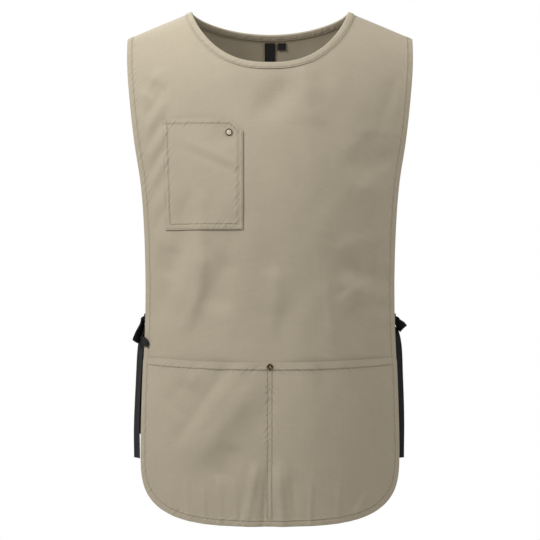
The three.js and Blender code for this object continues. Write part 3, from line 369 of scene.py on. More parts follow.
def mouth_down(x: Array) -> Array:
    """Returns how far the mouth of the lower pocket lies below the neck points."""
    return POCKET_MOUTH_DOWN - POCKET_MOUTH_LIFT * (2 * x / SHOULDER_WIDTH) ** 2


def below_mouth(places: Array) -> Array:
    """Returns how far places on the pattern lie below the mouth of the lower pocket."""
    return down_at(places) - mouth_down(places[..., 0])


def way_along(points: Array) -> Array:
    """Returns how far along a line each of its points is, starting with 0."""
    return np.concatenate([[0], np.cumsum(np.linalg.norm(np.diff(points, axis=0), axis=1))])


def unit(vectors: Array) -> Array:
    """Returns the vectors at a length of 1."""
    return vectors / np.linalg.norm(vectors, axis=-1, keepdims=True)


def read_off(creases: tuple[Crease, ...]) -> tuple[Crease, ...]:
    """Turns creases read off the photograph into creases of the pattern.

    Args:
        creases: with paths in the photograph's pixels, from its left and its top.

    Returns:
        The same creases, with paths in shares of the half width and the length.
    """
    across = PHOTO_SCALE * SHOULDER_WIDTH / 2
    middle = (SEAT_DROP - PHOTO_HEIGHT) / BODY_LENGTH
    whole = PHOTO_SCALE * BODY_LENGTH
    turned = []
    for crease in creases:
        path = [((x - PHOTO_MIDDLE) / across, middle + (y - PHOTO_MIDDLE) / whole) for x, y in crease.path]
        turned.append(replace(crease, path=tuple(path)))
    return tuple(turned)


def along_path(here: Array, path: Array) -> tuple[Array, Array]:
    """Measures places against a bent path.

    Args:
        here: the places.
        path: the path's corners.

    Returns:
        How far each place is from the path, and the share of the path at which it is nearest.
    """
    nearest = np.full(here.shape[:-1], np.inf)
    share = np.zeros(here.shape[:-1])
    starts = way_along(path)
    lengths = np.diff(starts)
    for k, (start, end) in enumerate(zip(path, path[1:])):
        run = end - start
        part = clamp(((here - start) @ run) / run.dot(run))
        away = np.linalg.norm(here - start - part[..., None] * run, axis=-1)
        share = np.where(away < nearest, (starts[k] + part * lengths[k]) / starts[-1], share)
        nearest = np.minimum(nearest, away)
    return nearest, share


def swaying(along: Array, beside: Array, waves: Triple) -> Array:
    """Returns waves along one direction, which sway along the other."""
    pitch, sway_pitch, sway = waves
    return np.sin(along / pitch + sway * np.sin(beside / sway_pitch))


def mirrored(places: Array) -> Array:
    """Returns the places of the other half."""
    return places * np.array([-1.0, 1.0])


def mixed(start: Array, end: Array, share: Array) -> Array:
    """Returns places between start and end."""
    return start + (end - start) * np.asarray(share)[..., None]


def straight(start: Sequence[float], end: Sequence[float], count: int) -> Array:
    """Returns evenly spaced places on the straight line between two."""
    return mixed(np.array(start, float), np.array(end, float), np.linspace(0, 1, count))


@dataclass
class Line:
    """A line through places, asked for by the share of the way along it.

    Attributes:
        places: its places, from one end to the other.
    """

    places: Array

    @staticmethod
    def evenly(places: Array) -> "Line":
        """Returns the line through the same places, evenly spaced."""
        known = way_along(places) / way_along(places)[-1] * FINE
        return Line(np.stack([np.interp(np.arange(FINE + 1), known, row) for row in places.T], -1))

    def at(self, share: Array) -> Array:
        """Returns the places at shares of the line."""
        aim = clamp(np.asarray(share, float)) * (len(self.places) - 1)
        return np.stack([np.interp(aim, np.arange(len(self.places)), row) for row in self.places.T], -1)

    def share_where(self, measure: Callable[[Array], Array], value: float) -> float:
        """Finds where a measure of the places first passes a value.

        Args:
            measure: gives a number for each place.
            value: the value to pass.

        Returns:
            The share of the line there.
        """
        values = measure(self.places)
        i = max(int(np.argmax(values > value)), 1)
        part = float(clamp((value - values[i - 1]) / (values[i] - values[i - 1])))
        return (i - 1 + part) / (len(values) - 1)


@dataclass
class PanelForm:
    """The form on which one panel hangs.

    Attributes:
        side: front or back.
        depth: how far the panel stands from the shoulder seams at most.
        sections: outline and depth from the top down.
        folds: soft folds in the cloth.
        creases: finer folds.
        neck_drop: depth of the neckline.
        neck_across: how square the neckline is across.
        neck_down: how square it is on the way down.
        unevenness: height of the cloth's small waves.
        neck_line: the right half of the neckline.
        edge: the free edge of the right half.
    """

    side: Side
    depth: float
    sections: Sequence[Section]
    folds: Sequence[Crease]
    creases: Sequence[Crease]
    neck_drop: float
    neck_across: float
    neck_down: float
    unevenness: float = 0.35
    neck_line: Line = field(init=False)
    edge: Line = field(init=False)

    def __post_init__(self) -> None:
        """Works out the neckline and the free edge."""
        self.neck_line = self._neck_line()
        self.edge = self._edge()

    def half_width(self, down: Array) -> Array:
        """Returns half the panel's width at a height below the neck points."""
        return SHOULDER_WIDTH / 2 * column_at(self.sections, "half", np.asarray(down) / BODY_LENGTH)

    def fold_height(self, x: Array, down: Array) -> Array:
        """Works out the folds, the creases and the small waves.

        Args:
            x: places across.
            down: their height below the neck points.

        Returns:
            How far the cloth is lifted there.
        """
        here = np.stack(np.broadcast_arrays(x, down), -1)
        scale = np.array([SHOULDER_WIDTH / 2, BODY_LENGTH])
        height = np.zeros(here.shape[:-1])
        for crease in [*self.folds, *self.creases]:
            away, share = along_path(here, np.array(crease.path) * scale)
            reach = clamp(np.minimum(share, 1 - share) / FOLD_TAPER)
            taper = reach**2 * (3 - 2 * reach)
            near = np.exp(-((away / (crease.width * FOLD_WIDTH)) ** 2))
            height += crease.height * FOLD_HEIGHT * near * taper
        waves = swaying(x, down, WAVES_ACROSS) * swaying(down, x, WAVES_DOWN)
        waves += RIPPLE_SHARE * swaying(x + RIPPLE_SLANT * down, down, RIPPLES)
        return height + self.unevenness * waves

    def point(self, places: Array) -> Array:
        """Hangs places of the pattern on the form.

        Args:
            places: the places.

        Returns:
            The middle of the cloth there, as points.
        """
        x, over = places[..., 0], places[..., 1]
        down = down_at(places)
        share = down / BODY_LENGTH
        centre = column_at(self.sections, "centre", share) * self.depth
        edge = column_at(self.sections, "edge", share) * self.depth
        across = np.abs(x) / self.half_width(down)
        flat = centre - (centre - edge) * across ** column_at(self.sections, "power", share)
        roll = np.sin(np.minimum(over / SHOULDER_ROLL, math.pi / 2))
        depth = roll * (flat + self.fold_height(x, down))
        return np.stack([x, self.side.value * depth, SEAT_DROP - down], -1)

    def slopes(self, places: Array) -> tuple[Array, Array]:
        """Measures how the cloth slopes.

        Args:
            places: places on the pattern.

        Returns:
            How the points move there as x, and as the way over the cloth, grows by 1 mm.
        """
        step = 0.5
        across = np.array([step, 0.0])
        over = np.array([0.0, step])
        return (
            (self.point(places + across) - self.point(places - across)) / (2 * step),
            (self.point(places + over) - self.point(places - over)) / (2 * step),
        )

    def normal(self, places: Array) -> Array:
        """Returns the outward direction of the cloth."""
        across, over = self.slopes(places)
        return unit(np.cross(over, across) * -self.side.value)

    def on(self, places: Array, lift: Array) -> Array:
        """Returns places lifted off the middle of the cloth, as points."""
        return self.point(places) + self.normal(places) * np.asarray(lift)[..., None]

    def neck_places(self, shares: Array, inset: Array) -> Array:
        """Returns places at shares of the neckline's right half, moved into the cloth.

        Args:
            shares: from 0 at the centre to 1 at the neck point.
            inset: how far into the cloth, in millimetres.

        Returns:
            The places.
        """
        shares, inset = np.broadcast_arrays(np.asarray(shares, float), np.asarray(inset, float))
        places = self.neck_line.at(shares)
        step = 0.01
        run = self.neck_line.at(shares + step) - self.neck_line.at(shares - step)
        run = np.where(shares[..., None] <= 0, np.array([1.0, 0.0]), run)
        run = np.where(shares[..., None] >= 1, np.array([0.0, 1.0]), run)
        across, over = self.slopes(places)
        along = across * run[..., :1] + over * run[..., 1:]
        way = unit(np.cross(along, self.normal(places)))
        aa, ab, bb = (across * across).sum(-1), (across * over).sum(-1), (over * over).sum(-1)
        wa, wb = (way * across).sum(-1), (way * over).sum(-1)
        move = np.stack([wa * bb - wb * ab, wb * aa - wa * ab], -1) / (aa * bb - ab * ab)[..., None]
        wrong = np.sign(places[..., 0]) * move[..., 0] + move[..., 1] < 0
        move = np.where(wrong[..., None], -move, move)
        moved = places + move * inset[..., None]
        moved[..., 0] = np.where(shares <= 0, 0.0, moved[..., 0])
        return moved

    def inset_edge(self, inset: float) -> Line:
        """Moves the free edge into the cloth.

        Args:
            inset: how far.

        Returns:
            The moved line.
        """
        run = np.empty_like(self.edge.places)
        run[1:-1] = self.edge.places[2:] - self.edge.places[:-2]
        run[0], run[-1] = (0, 1), (-1, 0)
        run = unit(run)
        moved = self.edge.places + np.stack([-run[:, 1], run[:, 0]], -1) * inset
        moved[:, 0] = np.maximum(moved[:, 0], 0)
        return Line(moved)

    def _neck_line(self) -> Line:
        """Works out the right half of the neckline.

        Returns:
            The line from the centre to the neck point.
        """
        x = NECK_WIDTH / 2 * np.sin(np.linspace(0, math.pi / 2, FINE + 1))
        drop = (1 - (2 * x / NECK_WIDTH) ** self.neck_across).clip(0) ** (1 / self.neck_down)
        places = place_at(x, self.neck_drop * drop)
        places[-1, 1] = 0
        return Line.evenly(places)

    def _edge(self) -> Line:
        """Works out the free edge of the right half.

        Returns:
            The line down the side and along the hem to the centre.
        """
        corner = BODY_LENGTH - HEM_CORNER_HEIGHT
        down = np.linspace(SHOULDER_DROP, corner, FINE + 1)
        side = place_at(self.half_width(down), down)
        side[0, 1] = 0
        angle = np.linspace(math.pi / 2, 0, FINE + 1)[1:]
        round_down = corner + HEM_CORNER_HEIGHT * np.cos(angle) ** (2 / HEM_DOWN)
        half = self.half_width(round_down) * np.sin(angle) ** (2 / HEM_ACROSS)
        return Line.evenly(np.concatenate([side, place_at(half, round_down)]))


def grid_in(mesh: bmesh.types.BMesh, rows: int, columns: int) -> dict:
    """Adds a grid of vertices and faces to a mesh.

    Args:
        mesh: the mesh.
        rows: rows of vertices.
        columns: columns of vertices.

    Returns:
        The row and column of each new vertex.
    """
    made = bmesh.ops.create_grid(mesh, x_segments=columns - 1, y_segments=rows - 1, size=0.5)["verts"]
    return {
        vert: (round((vert.co.y + 0.5) * (rows - 1)), round((vert.co.x + 0.5) * (columns - 1)))
        for vert in made
    }


def as_mesh(name: str, source: bmesh.types.BMesh) -> bpy.types.Mesh:
    """Ends the construction of a mesh.

    Args:
        name: of the mesh.
        source: the mesh under construction, which is let go of.

    Returns:
        The finished mesh.
    """
    mesh = bpy.data.meshes.new(name)
    source.to_mesh(mesh)
    source.free()
    return mesh


@dataclass
class FlatCut:
    """A piece of cloth cut flat on a panel's pattern, and then hung on its form.

    Attributes:
        form: the panel's form.
        cloth: thickness where the cloth lies single.
        folded: thickness where it is folded.
        flat: the cut cloth, before it is hung.
    """

    form: PanelForm
    cloth: float = CLOTH
    folded: float = HEM_CLOTH
    flat: bmesh.types.BMesh = field(init=False)

    def __post_init__(self) -> None:
        """Starts the flat mesh."""
        self.flat = bmesh.new()
        for name in ("lift", "fold", "inset"):
            self.flat.verts.layers.float.new(name)

    def add(self, places: Array, lift: Array, fold: Array, inset: Array) -> None:
        """Adds a grid of cloth.

        Args:
            places: rows and columns of places on the pattern.
            lift: how far the cloth's middle is lifted off the panel's.
            fold: 0 where the cloth lies single, 1 where it is folded.
            inset: how far in from its sewn edge each place is.
        """
        rows, columns = places.shape[:2]
        facts = {
            name: np.broadcast_to(values, (rows, columns))
            for name, values in (("lift", lift), ("fold", fold), ("inset", inset))
        }
        layers = {name: self.flat.verts.layers.float[name] for name in facts}
        for vert, (j, i) in grid_in(self.flat, rows, columns).items():
            vert.co = (places[j, i, 0], places[j, i, 1], 0)
            for name, values in facts.items():
                vert[layers[name]] = float(values[j, i])

    def hang(self, name: str) -> bpy.types.Object:
        """Joins the grids, hangs them on the form and gives them their thickness.

        Args:
            name: the piece's name.

        Returns:
            The finished piece.
        """
        flat = self.flat
        bmesh.ops.remove_doubles(flat, verts=flat.verts, dist=0.002)
        bmesh.ops.recalc_face_normals(flat, faces=flat.faces)
        if sum(face.normal.z * face.calc_area() for face in flat.faces) * self.form.side.value < 0:
            bmesh.ops.reverse_faces(flat, faces=flat.faces)
        layers = flat.verts.layers.float
        flat.verts.ensure_lookup_table()
        places = np.array([vert.co.xy for vert in flat.verts])
        facts = {key: np.array([vert[layers[key]] for vert in flat.verts]) for key in layers.keys()}
        pattern = flat.loops.layers.uv.new("pattern")
        seam = flat.loops.layers.uv.new("seam")
        for face in flat.faces:
            for loop in face.loops:
                vert = loop.vert
                loop[pattern].uv = vert.co.xy * MM
                loop[seam].uv = (vert[layers["inset"]] * MM, 0)
        for vert, point in zip(flat.verts, self.form.on(places, facts["lift"]) * MM):
            vert.co = point
        mesh = as_mesh(name, flat)
        for key in facts:
            mesh.attributes.remove(mesh.attributes[key])
        piece = finished(name, mesh)
        group = piece.vertex_groups.new(name="folded")
        weights = (self.cloth + (self.folded - self.cloth) * facts["fold"]) / self.folded
        for index, weight in enumerate(weights):
            group.add([index], float(weight), "REPLACE")
        thicken(piece, self.folded, "folded")
        return piece


def finished(name: str, mesh: bpy.types.Mesh) -> bpy.types.Object:
    """Makes a mesh a smooth piece of the scene that rides with the apron.

    Args:
        name: the piece's name.
        mesh: its mesh.

    Returns:
        The piece.
    """
    piece = bpy.data.objects.new(name, mesh)
    bpy.context.scene.collection.objects.link(piece)
    mesh.shade_smooth()
    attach(piece, "root")
    return piece


def thicken(piece: bpy.types.Object, thickness: float, group: str = "") -> None:
    """Gives a sheet its thickness, on both sides of its middle.

    Args:
        piece: the sheet.
        thickness: in millimetres.
        group: the vertex group that gives the share of it at each place.
    """
    rim_width = 0.3
    rim_angle = math.radians(50)
    wall = piece.modifiers.new("wall", "SOLIDIFY")
    wall.thickness = thickness * MM
    wall.offset = 0
    wall.use_even_offset = False
    wall.vertex_group = group
    rim = piece.modifiers.new("rim", "BEVEL")
    rim.width = min(rim_width, thickness / 4) * MM
    rim.segments = 2
    rim.angle_limit = rim_angle
    rim.harden_normals = True


@dataclass
class Stitching:
    """Runs of sewing thread on one piece.

    Attributes:
        pitch: from one stitch to the next.
        length: of one stitch.
        width: of the thread.
        height: of the thread, as a share of its width.
        turns: the place, direction and size of every stitch so far.
    """

    pitch: float = 3.0
    length: float = 2.3
    width: float = 0.55
    height: float = 0.84
    turns: list[Array] = field(default_factory=list)

    def run(self, points: Array, out: Array) -> None:
        """Sews along points, with a stitch on the cloth at each step.

        Args:
            points: the run's points on the face of the cloth.
            out: the outward direction of the cloth at each of them.
        """
        lengths = way_along(points)
        count = int(lengths[-1] // self.pitch)
        aims = (np.arange(count) + 0.5) * lengths[-1] / count

        def along(values: Array, shift: float) -> Array:
            """Returns values at each stitch's middle, shifted along the run."""
            return np.stack([np.interp(aims + shift, lengths, values[:, k]) for k in range(3)], -1)

        start, end = along(points, -self.length / 2), along(points, self.length / 2)
        normal = unit(along(out, 0))
        way = unit(end - start)
        across = unit(np.cross(normal, way))
        size = np.array([self.length, self.width, self.width * self.height]) / 2
        turn = np.stack([way, across, np.cross(way, across)], -1) * size
        self.turns.append(np.concatenate([turn, ((start + end) / 2)[..., None]], -1))

    def on_form(self, form: PanelForm, places: Array, lift: Array) -> None:
        """Sews along places on a form's pattern, at a lift off the middle of its cloth."""
        self.run(form.on(places, np.broadcast_to(lift, places.shape[:1])), form.normal(places))

    def finish(self, name: str, material: bpy.types.Material) -> None:
        """Makes the threads a piece.

        Args:
            name: the piece's name.
            material: of the thread.
        """
        bead = bmesh.new()
        bmesh.ops.create_uvsphere(bead, u_segments=6, v_segments=4, radius=1)
        corners = np.array([[*vert.co, 1] for vert in bead.verts])
        faces = [[vert.index for vert in face.verts] for face in bead.faces]
        bead.free()
        turns = np.concatenate(self.turns)
        points = np.einsum("nij,vj->nvi", turns, corners).reshape(-1, 3) * MM
        step = len(corners)
        copies = [[step * k + v for v in face] for k in range(len(turns)) for face in faces]
        mesh = bpy.data.meshes.new(name)
        mesh.from_pydata(points.tolist(), [], copies)
        dress(finished(name, mesh), material)


def dress(piece: bpy.types.Object, material: bpy.types.Material) -> None:
    """Gives a piece its material."""
    piece.data.materials.append(material)


class Nodes:
    """A node tree under construction, with short calls for its nodes and links."""

    def __init__(self, tree: bpy.types.NodeTree) -> None:
        """Starts on an empty tree."""
        self.tree = tree
        tree.nodes.clear()

    def add(self, kind: str, inputs: dict | None = None, **settings: object) -> bpy.types.Node:
        """Adds a node.

        Args:
            kind: its type.
            inputs: values or sockets for its inputs, by name or number.
            settings: its properties.

        Returns:
            The node.
        """
        node = self.tree.nodes.new(kind)
        for name, value in settings.items():
            setattr(node, name, value)
        for key, value in (inputs or {}).items():
            if isinstance(value, Socket):
                self.tree.links.new(value, node.inputs[key])
            else:
                node.inputs[key].default_value = value
        return node

    def math(self, operation: str, *values: object, hold: bool = False) -> Socket:
        """Adds a Math node.

        Args:
            operation: what it works out.
            values: numbers or sockets to work it out from.
            hold: whether the result is held between 0 and 1.

        Returns:
            The result.
        """
        node = self.add("ShaderNodeMath", dict(enumerate(values)), operation=operation)
        node.use_clamp = hold
        return node.outputs[0]

    def times(self, first: object, second: object) -> Socket:
        """Returns a product."""
        return self.math("MULTIPLY", first, second)

    def plus(self, first: object, second: object) -> Socket:
        """Returns a sum."""
        return self.math("ADD", first, second)

    def bell(self, value: Socket) -> Socket:
        """Returns 1 where a value is 0, falling to 0 on both sides of it."""
        return self.math("EXPONENT", self.times(self.times(value, value), -1.0))

    def wave(self, place: Socket, pitch: Socket) -> Socket:
        """Returns a sine wave over a place, with so many waves in a metre."""
        return self.math("SINE", self.times(self.times(place, pitch), math.tau))

    def parts(self, vector: Socket) -> list[Socket]:
        """Returns the x, y and z of a vector."""
        return self.add("ShaderNodeSeparateXYZ", {0: vector}).outputs[:]

    def stretched(self, place: Socket, by: Triple) -> Socket:
        """Returns a place multiplied along each axis."""
        return self.add("ShaderNodeVectorMath", {0: place, 1: by}, operation="MULTIPLY").outputs[0]

    def noise(self, place: Socket, scale: float, detail: float = 2.0, rough: float = 0.5) -> Socket:
        """Returns noise over a place, of about 0.5."""
        inputs = {"Vector": place, "Scale": scale, "Detail": detail, "Roughness": rough}
        return self.add("ShaderNodeTexNoise", inputs).outputs[0]

    def mix(self, share: Socket, first: object, second: object) -> Socket:
        """Returns a colour between the first, at a share of 0, and the second, at 1."""
        return self.add("ShaderNodeMix", {0: share, 6: first, 7: second}, data_type="RGBA").outputs[2]

    def bump(self, height: Socket, strength: float, distance: float, under: Socket | None = None) -> Socket:
        """Returns the direction of a bumpy face.

        Args:
            height: of the bumps.
            strength: from 0 to 1.
            distance: the height that a height of 1 stands for, in metres.
            under: the direction of the face that they are added to.

        Returns:
            The direction.
        """
        inputs = {"Strength": strength, "Distance": distance, "Height": height}
        if under is not None:
            inputs["Normal"] = under
        return self.add("ShaderNodeBump", inputs).outputs[0]

    def uv(self, name: str) -> Socket:
        """Returns the place on one of the mesh's maps."""
        return self.add("ShaderNodeUVMap", uv_map=name).outputs[0]

    def group(self, tree: bpy.types.NodeTree, inputs: dict) -> bpy.types.bpy_prop_collection:
        """Returns the outputs of a shared node group, fed with the inputs."""
        return self.add("ShaderNodeGroup", inputs, node_tree=tree).outputs

    def show(self, colour: object, roughness: object, more: dict | None = None) -> None:
        """Ends a material with its shader.

        Args:
            colour: of the face.
            roughness: of the face.
            more: other inputs of the shader, by name.
        """
        inputs = {"Base Color": colour, "Roughness": roughness, **(more or {})}
        shader = self.add("ShaderNodeBsdfPrincipled", inputs).outputs[0]
        self.add("ShaderNodeOutputMaterial", {0: shader})


def new_group(name: str, inputs: dict[str, float | None]) -> tuple[Nodes, bpy.types.NodeGroupInput]:
    """Starts a node group that gives a height and a shade.

    Args:
        name: of the group.
        inputs: the value of each of its inputs, by name, or None for one that takes a place.

    Returns:
        The nodes under construction, and the node that holds the group's inputs.
    """
    tree = bpy.data.node_groups.new(name, "ShaderNodeTree")
    for label, value in inputs.items():
        kind = "NodeSocketVector" if value is None else "NodeSocketFloat"
        socket = tree.interface.new_socket(name=label, in_out="INPUT", socket_type=kind)
        if value is not None:
            socket.default_value = value
    for label in ("Height", "Shade"):
        tree.interface.new_socket(name=label, in_out="OUTPUT", socket_type="NodeSocketFloat")
    nodes = Nodes(tree)
    return nodes, nodes.add("NodeGroupInput")


def new_material(name: str) -> tuple[bpy.types.Material, Nodes]:
    """Starts a material.

    Args:
        name: of the material.

    Returns:
        The material, and its nodes under construction.
    """
    material = bpy.data.materials.new(name)
    material.use_nodes = True
    return material, Nodes(material.node_tree)


def shade_of(colour: Triple, factor: float = 1.0, more: float = 0.0) -> tuple[float, ...]:
    """Returns a colour times a factor and with more added, as an opaque one."""
    return tuple(c * factor + more for c in colour) + (1,)


@dataclass(frozen=True)
class Weave:
    """The weave of twill: diagonal ribs of crossing yarns.

    Attributes:
        ribs: ribs in a metre of the pattern.
        yarns: yarns in a metre of it.
        slant: how much the ribs lean over.
        rib_height: share of the height that the ribs have.
        yarn_height: share that the yarns have.
        slub_height: share that the thicker places of the yarns have.
        slubs: how fine those places are across, and along the cloth, in a metre.
        base: height of the face between them.
        slub_shade: how much darker the thicker places are.
        rib_shade: how much darker the ribs are.
    """

    ribs: float = 900.0
    yarns: float = 1500.0
    slant: float = 0.6
    rib_height: float = 0.35
    yarn_height: float = 0.15
    slub_height: float = 0.5
    slubs: Triple = (60.0, 900.0, 1.0)
    base: float = 0.25
    slub_shade: float = 0.7
    rib_shade: float = 0.12

    def group(self) -> bpy.types.NodeTree:
        """Builds the node group.

        Returns:
            Its tree, with a place on the pattern among its inputs.
        """
        inputs = {"Place": None, "Ribs per metre": self.ribs, "Yarns per metre": self.yarns}
        nodes, given = new_group("twill_weave", inputs)
        place = given.outputs["Place"]
        x, y = nodes.parts(place)[:2]
        slant = nodes.plus(x, nodes.times(y, self.slant))
        ribs = nodes.wave(slant, given.outputs["Ribs per metre"])
        yarns = nodes.wave(y, given.outputs["Yarns per metre"])
        height = nodes.plus(nodes.times(ribs, self.rib_height), nodes.times(yarns, self.yarn_height))
        slubs = nodes.noise(nodes.stretched(place, self.slubs), 1.0, detail=3.0)
        high = nodes.plus(nodes.times(slubs, self.slub_height), nodes.plus(height, self.base))
        shade = nodes.plus(nodes.times(slubs, self.slub_shade), nodes.times(ribs, self.rib_shade))
        nodes.add("NodeGroupOutput", {"Height": high, "Shade": shade})
        return nodes.tree


@dataclass(frozen=True)
class Pucker:
    """The small ripples that a row of stitches draws into the cloth beside an edge, and the painted shade
    of the groove that it presses in.

    Attributes:
        reach: how far to both sides of the stitches the ripples go, in metres.
        along: how fine the ripples are along the edge, in a metre.
        across: how fine they are across.
        groove: half the width of the line that the stitches press in, and of its painted shade, in metres.
        ripple_height: how high the ripples stand.
        groove_height: how deep the line is.
    """

    reach: float = 0.005
    along: float = 150.0
    across: float = 12.0
    groove: float = 0.0009
    ripple_height: float = 1.6
    groove_height: float = 0.35

    def group(self) -> bpy.types.NodeTree:
        """Builds the node group.

        Returns:
            Its tree, with a place on the pattern and one on the seam's map among its inputs.
        """
        inputs = {"Place": None, "Seam": None, "Seam inset": SEAM_INSET, "Reach": self.reach}
        nodes, given = new_group("seam_pucker", inputs)
        x, over = nodes.parts(given.outputs["Place"])[:2]
        inset = nodes.parts(given.outputs["Seam"])[0]
        along = nodes.math("SUBTRACT", over, nodes.math("ABSOLUTE", x))
        spread = {0: nodes.times(along, self.along), 1: nodes.times(x, self.across)}
        ripple = nodes.noise(nodes.add("ShaderNodeCombineXYZ", spread).outputs[0], 1.0)
        off = nodes.math("SUBTRACT", inset, given.outputs["Seam inset"])
        near = nodes.bell(nodes.math("DIVIDE", off, given.outputs["Reach"]))
        groove = nodes.bell(nodes.math("DIVIDE", off, self.groove))
        ripples = nodes.times(nodes.math("SUBTRACT", ripple, 0.5), near)
        high = nodes.times(ripples, self.ripple_height)
        high = nodes.math("SUBTRACT", high, nodes.times(groove, self.groove_height))
        # The groove's mask goes out as Shade, which the material turns into painted shade along the sewn
        # line.
        nodes.add("NodeGroupOutput", {"Height": high, "Shade": groove})
        return nodes.tree


@dataclass(frozen=True)
class TwillFinish:
    """Woven cotton twill.

    Attributes:
        name: of the material.
        colour: linear colour of the cloth.
        seam_inset: how far in from the edge its row of stitches runs, in metres.
        uneven: how much lighter and darker the dye comes out.
        clouds: scale, detail and roughness of the dye's clouds.
        cloud_share: how much of the unevenness is clouds.
        streaks: how fine each set of streaks is, and its share of the unevenness.
        weave_shade: how far the weave darkens the cloth, and to what share of its colour.
        groove_painted_shade: how far painted shade in the sewn line's groove darkens it, and to what share.
        ripple_bump: strength and distance of the ripples beside a seam.
        weave_bump: strength and distance of the weave.
        roughness: of the face.
    """

    name: str
    colour: Triple
    seam_inset: float = SEAM_INSET
    uneven: float = 0.07
    clouds: Triple = (22.0, 5.0, 0.6)
    cloud_share: float = 0.4
    streaks: tuple[tuple[Triple, float], ...] = (((18.0, 420.0, 1.0), 0.36), ((420.0, 24.0, 1.0), 0.24))
    weave_shade: tuple[float, float] = (0.22, 0.62)
    groove_painted_shade: tuple[float, float] = (0.17, 0.45)
    ripple_bump: tuple[float, float] = (0.8, 0.0018)
    weave_bump: tuple[float, float] = (0.35, 0.0003)
    roughness: float = 0.88

    def make(self, groups: dict[str, bpy.types.NodeTree]) -> bpy.types.Material:
        """Builds the material.

        Args:
            groups: the shared node groups, by name.

        Returns:
            The material.
        """
        material, nodes = new_material(self.name)
        pattern = nodes.uv("pattern")
        weave = nodes.group(groups["twill"], {"Place": pattern})
        sewn_at = {"Place": pattern, "Seam": nodes.uv("seam"), "Seam inset": self.seam_inset}
        pucker = nodes.group(groups["pucker"], sewn_at)
        dye = nodes.times(nodes.noise(pattern, *self.clouds), self.cloud_share)
        for stretch, share in self.streaks:
            streak = nodes.noise(nodes.stretched(pattern, stretch), 1.0)
            dye = nodes.plus(dye, nodes.times(streak, share))
        dye = nodes.math("SUBTRACT", nodes.times(dye, 2.0), 0.5, hold=True)
        colour = nodes.mix(
            dye, shade_of(self.colour, 1 - self.uneven), shade_of(self.colour, 1 + self.uneven)
        )
        # The weave's own tone darkens the cloth, then painted shade darkens the groove along each sewn
        # line.
        for shaded, (much, dark) in ((weave, self.weave_shade), (pucker, self.groove_painted_shade)):
            colour = nodes.mix(nodes.times(shaded["Shade"], much), colour, shade_of(self.colour, dark))
        ripples = nodes.bump(pucker["Height"], *self.ripple_bump)
        face = nodes.bump(weave["Height"], *self.weave_bump, ripples)
        sheen = {"Sheen Weight": 0.12, "Sheen Roughness": 0.5, "Specular IOR Level": 0.25}
        nodes.show(colour, self.roughness, {**sheen, "Normal": face})
        return material


@dataclass(frozen=True)
class ThreadFinish:
    """Sewing thread.

    Attributes:
        name: of the material.
        colour: its linear colour.
        fibres: how fine its fibres are, in a metre.
        dark: how dark it is between them, as a share of its colour.
        roughness: of its face.
    """

    name: str
    colour: Triple
    fibres: float = 3000.0
    dark: float = 0.75
    roughness: float = 0.6

    def make(self) -> bpy.types.Material:
        """Builds the material.

        Returns:
            The material.
        """
        material, nodes = new_material(self.name)
        place = nodes.add("ShaderNodeTexCoord").outputs["Object"]
        fibres = nodes.noise(place, self.fibres)
        colour = nodes.mix(fibres, shade_of(self.colour, self.dark), shade_of(self.colour))
        nodes.show(colour, self.roughness)
        return material


@dataclass(frozen=True)
class TapeFinish:
    """Black woven tape or label ribbon.

    Attributes:
        name: of the material.
        colour: linear colour.
        ribs: ribs of its weave in a metre.
        roughness: of its face.
        bump: strength and distance of the weave.
    """

    name: str
    colour: Triple
    ribs: float
    roughness: float
    bump: tuple[float, float] = (0.6, 0.0004)

    def make(self, groups: dict[str, bpy.types.NodeTree]) -> bpy.types.Material:
        """Builds the material.

        Args:
            groups: the shared node groups, by name.

        Returns:
            The material.
        """
        material, nodes = new_material(self.name)
        place = {"Place": nodes.uv("pattern"), "Ribs per metre": self.ribs}
        weave = nodes.group(groups["twill"], place)
        lighter = shade_of(self.colour, factor=2.0, more=0.003)
        colour = nodes.mix(weave["Shade"], shade_of(self.colour), lighter)
        face = nodes.bump(weave["Height"], *self.bump)
        nodes.show(
            colour, self.roughness, {"Specular IOR Level": 0.3, "Sheen Weight": 0.03, "Normal": face}
        )
        return material


@dataclass(frozen=True)
class BrassFinish:
    """Darkened brass, brighter where it is rubbed.

    Attributes:
        name: of the material.
        dark: linear colour of the patina.
        bright: linear colour of the rubbed metal.
        metallic: how much it shines like bare metal.
        stains: how fine its stains are, in a metre.
        stain_share: how much they brighten it.
        edge: how pointed a place has to be before it counts as rubbed.
        edge_gain: how fast rubbed places brighten.
        rough: roughness of the patina, and how much smoother the rubbed metal is.
    """

    name: str
    dark: Triple
    bright: Triple
    metallic: float = 1.0
    stains: float = 700.0
    stain_share: float = 0.45
    edge: float = 0.48
    edge_gain: float = 6.0
    rough: tuple[float, float] = (0.5, 0.2)

    def make(self) -> bpy.types.Material:
        """Builds the material.

        Returns:
            The material.
        """
        material, nodes = new_material(self.name)
        place = nodes.add("ShaderNodeTexCoord").outputs["Object"]
        stains = nodes.noise(place, self.stains, detail=6.0)
        pointed = nodes.add("ShaderNodeNewGeometry").outputs["Pointiness"]
        edges = nodes.math(
            "MULTIPLY", nodes.math("SUBTRACT", pointed, self.edge), self.edge_gain, hold=True
        )
        worn = nodes.math("ADD", nodes.times(stains, self.stain_share), edges, hold=True)
        colour = nodes.mix(worn, shade_of(self.dark), shade_of(self.bright))
        patina, smoother = self.rough
        rough = nodes.math("SUBTRACT", patina, nodes.times(worn, smoother))
        nodes.show(colour, rough, {"Metallic": self.metallic})
        return material


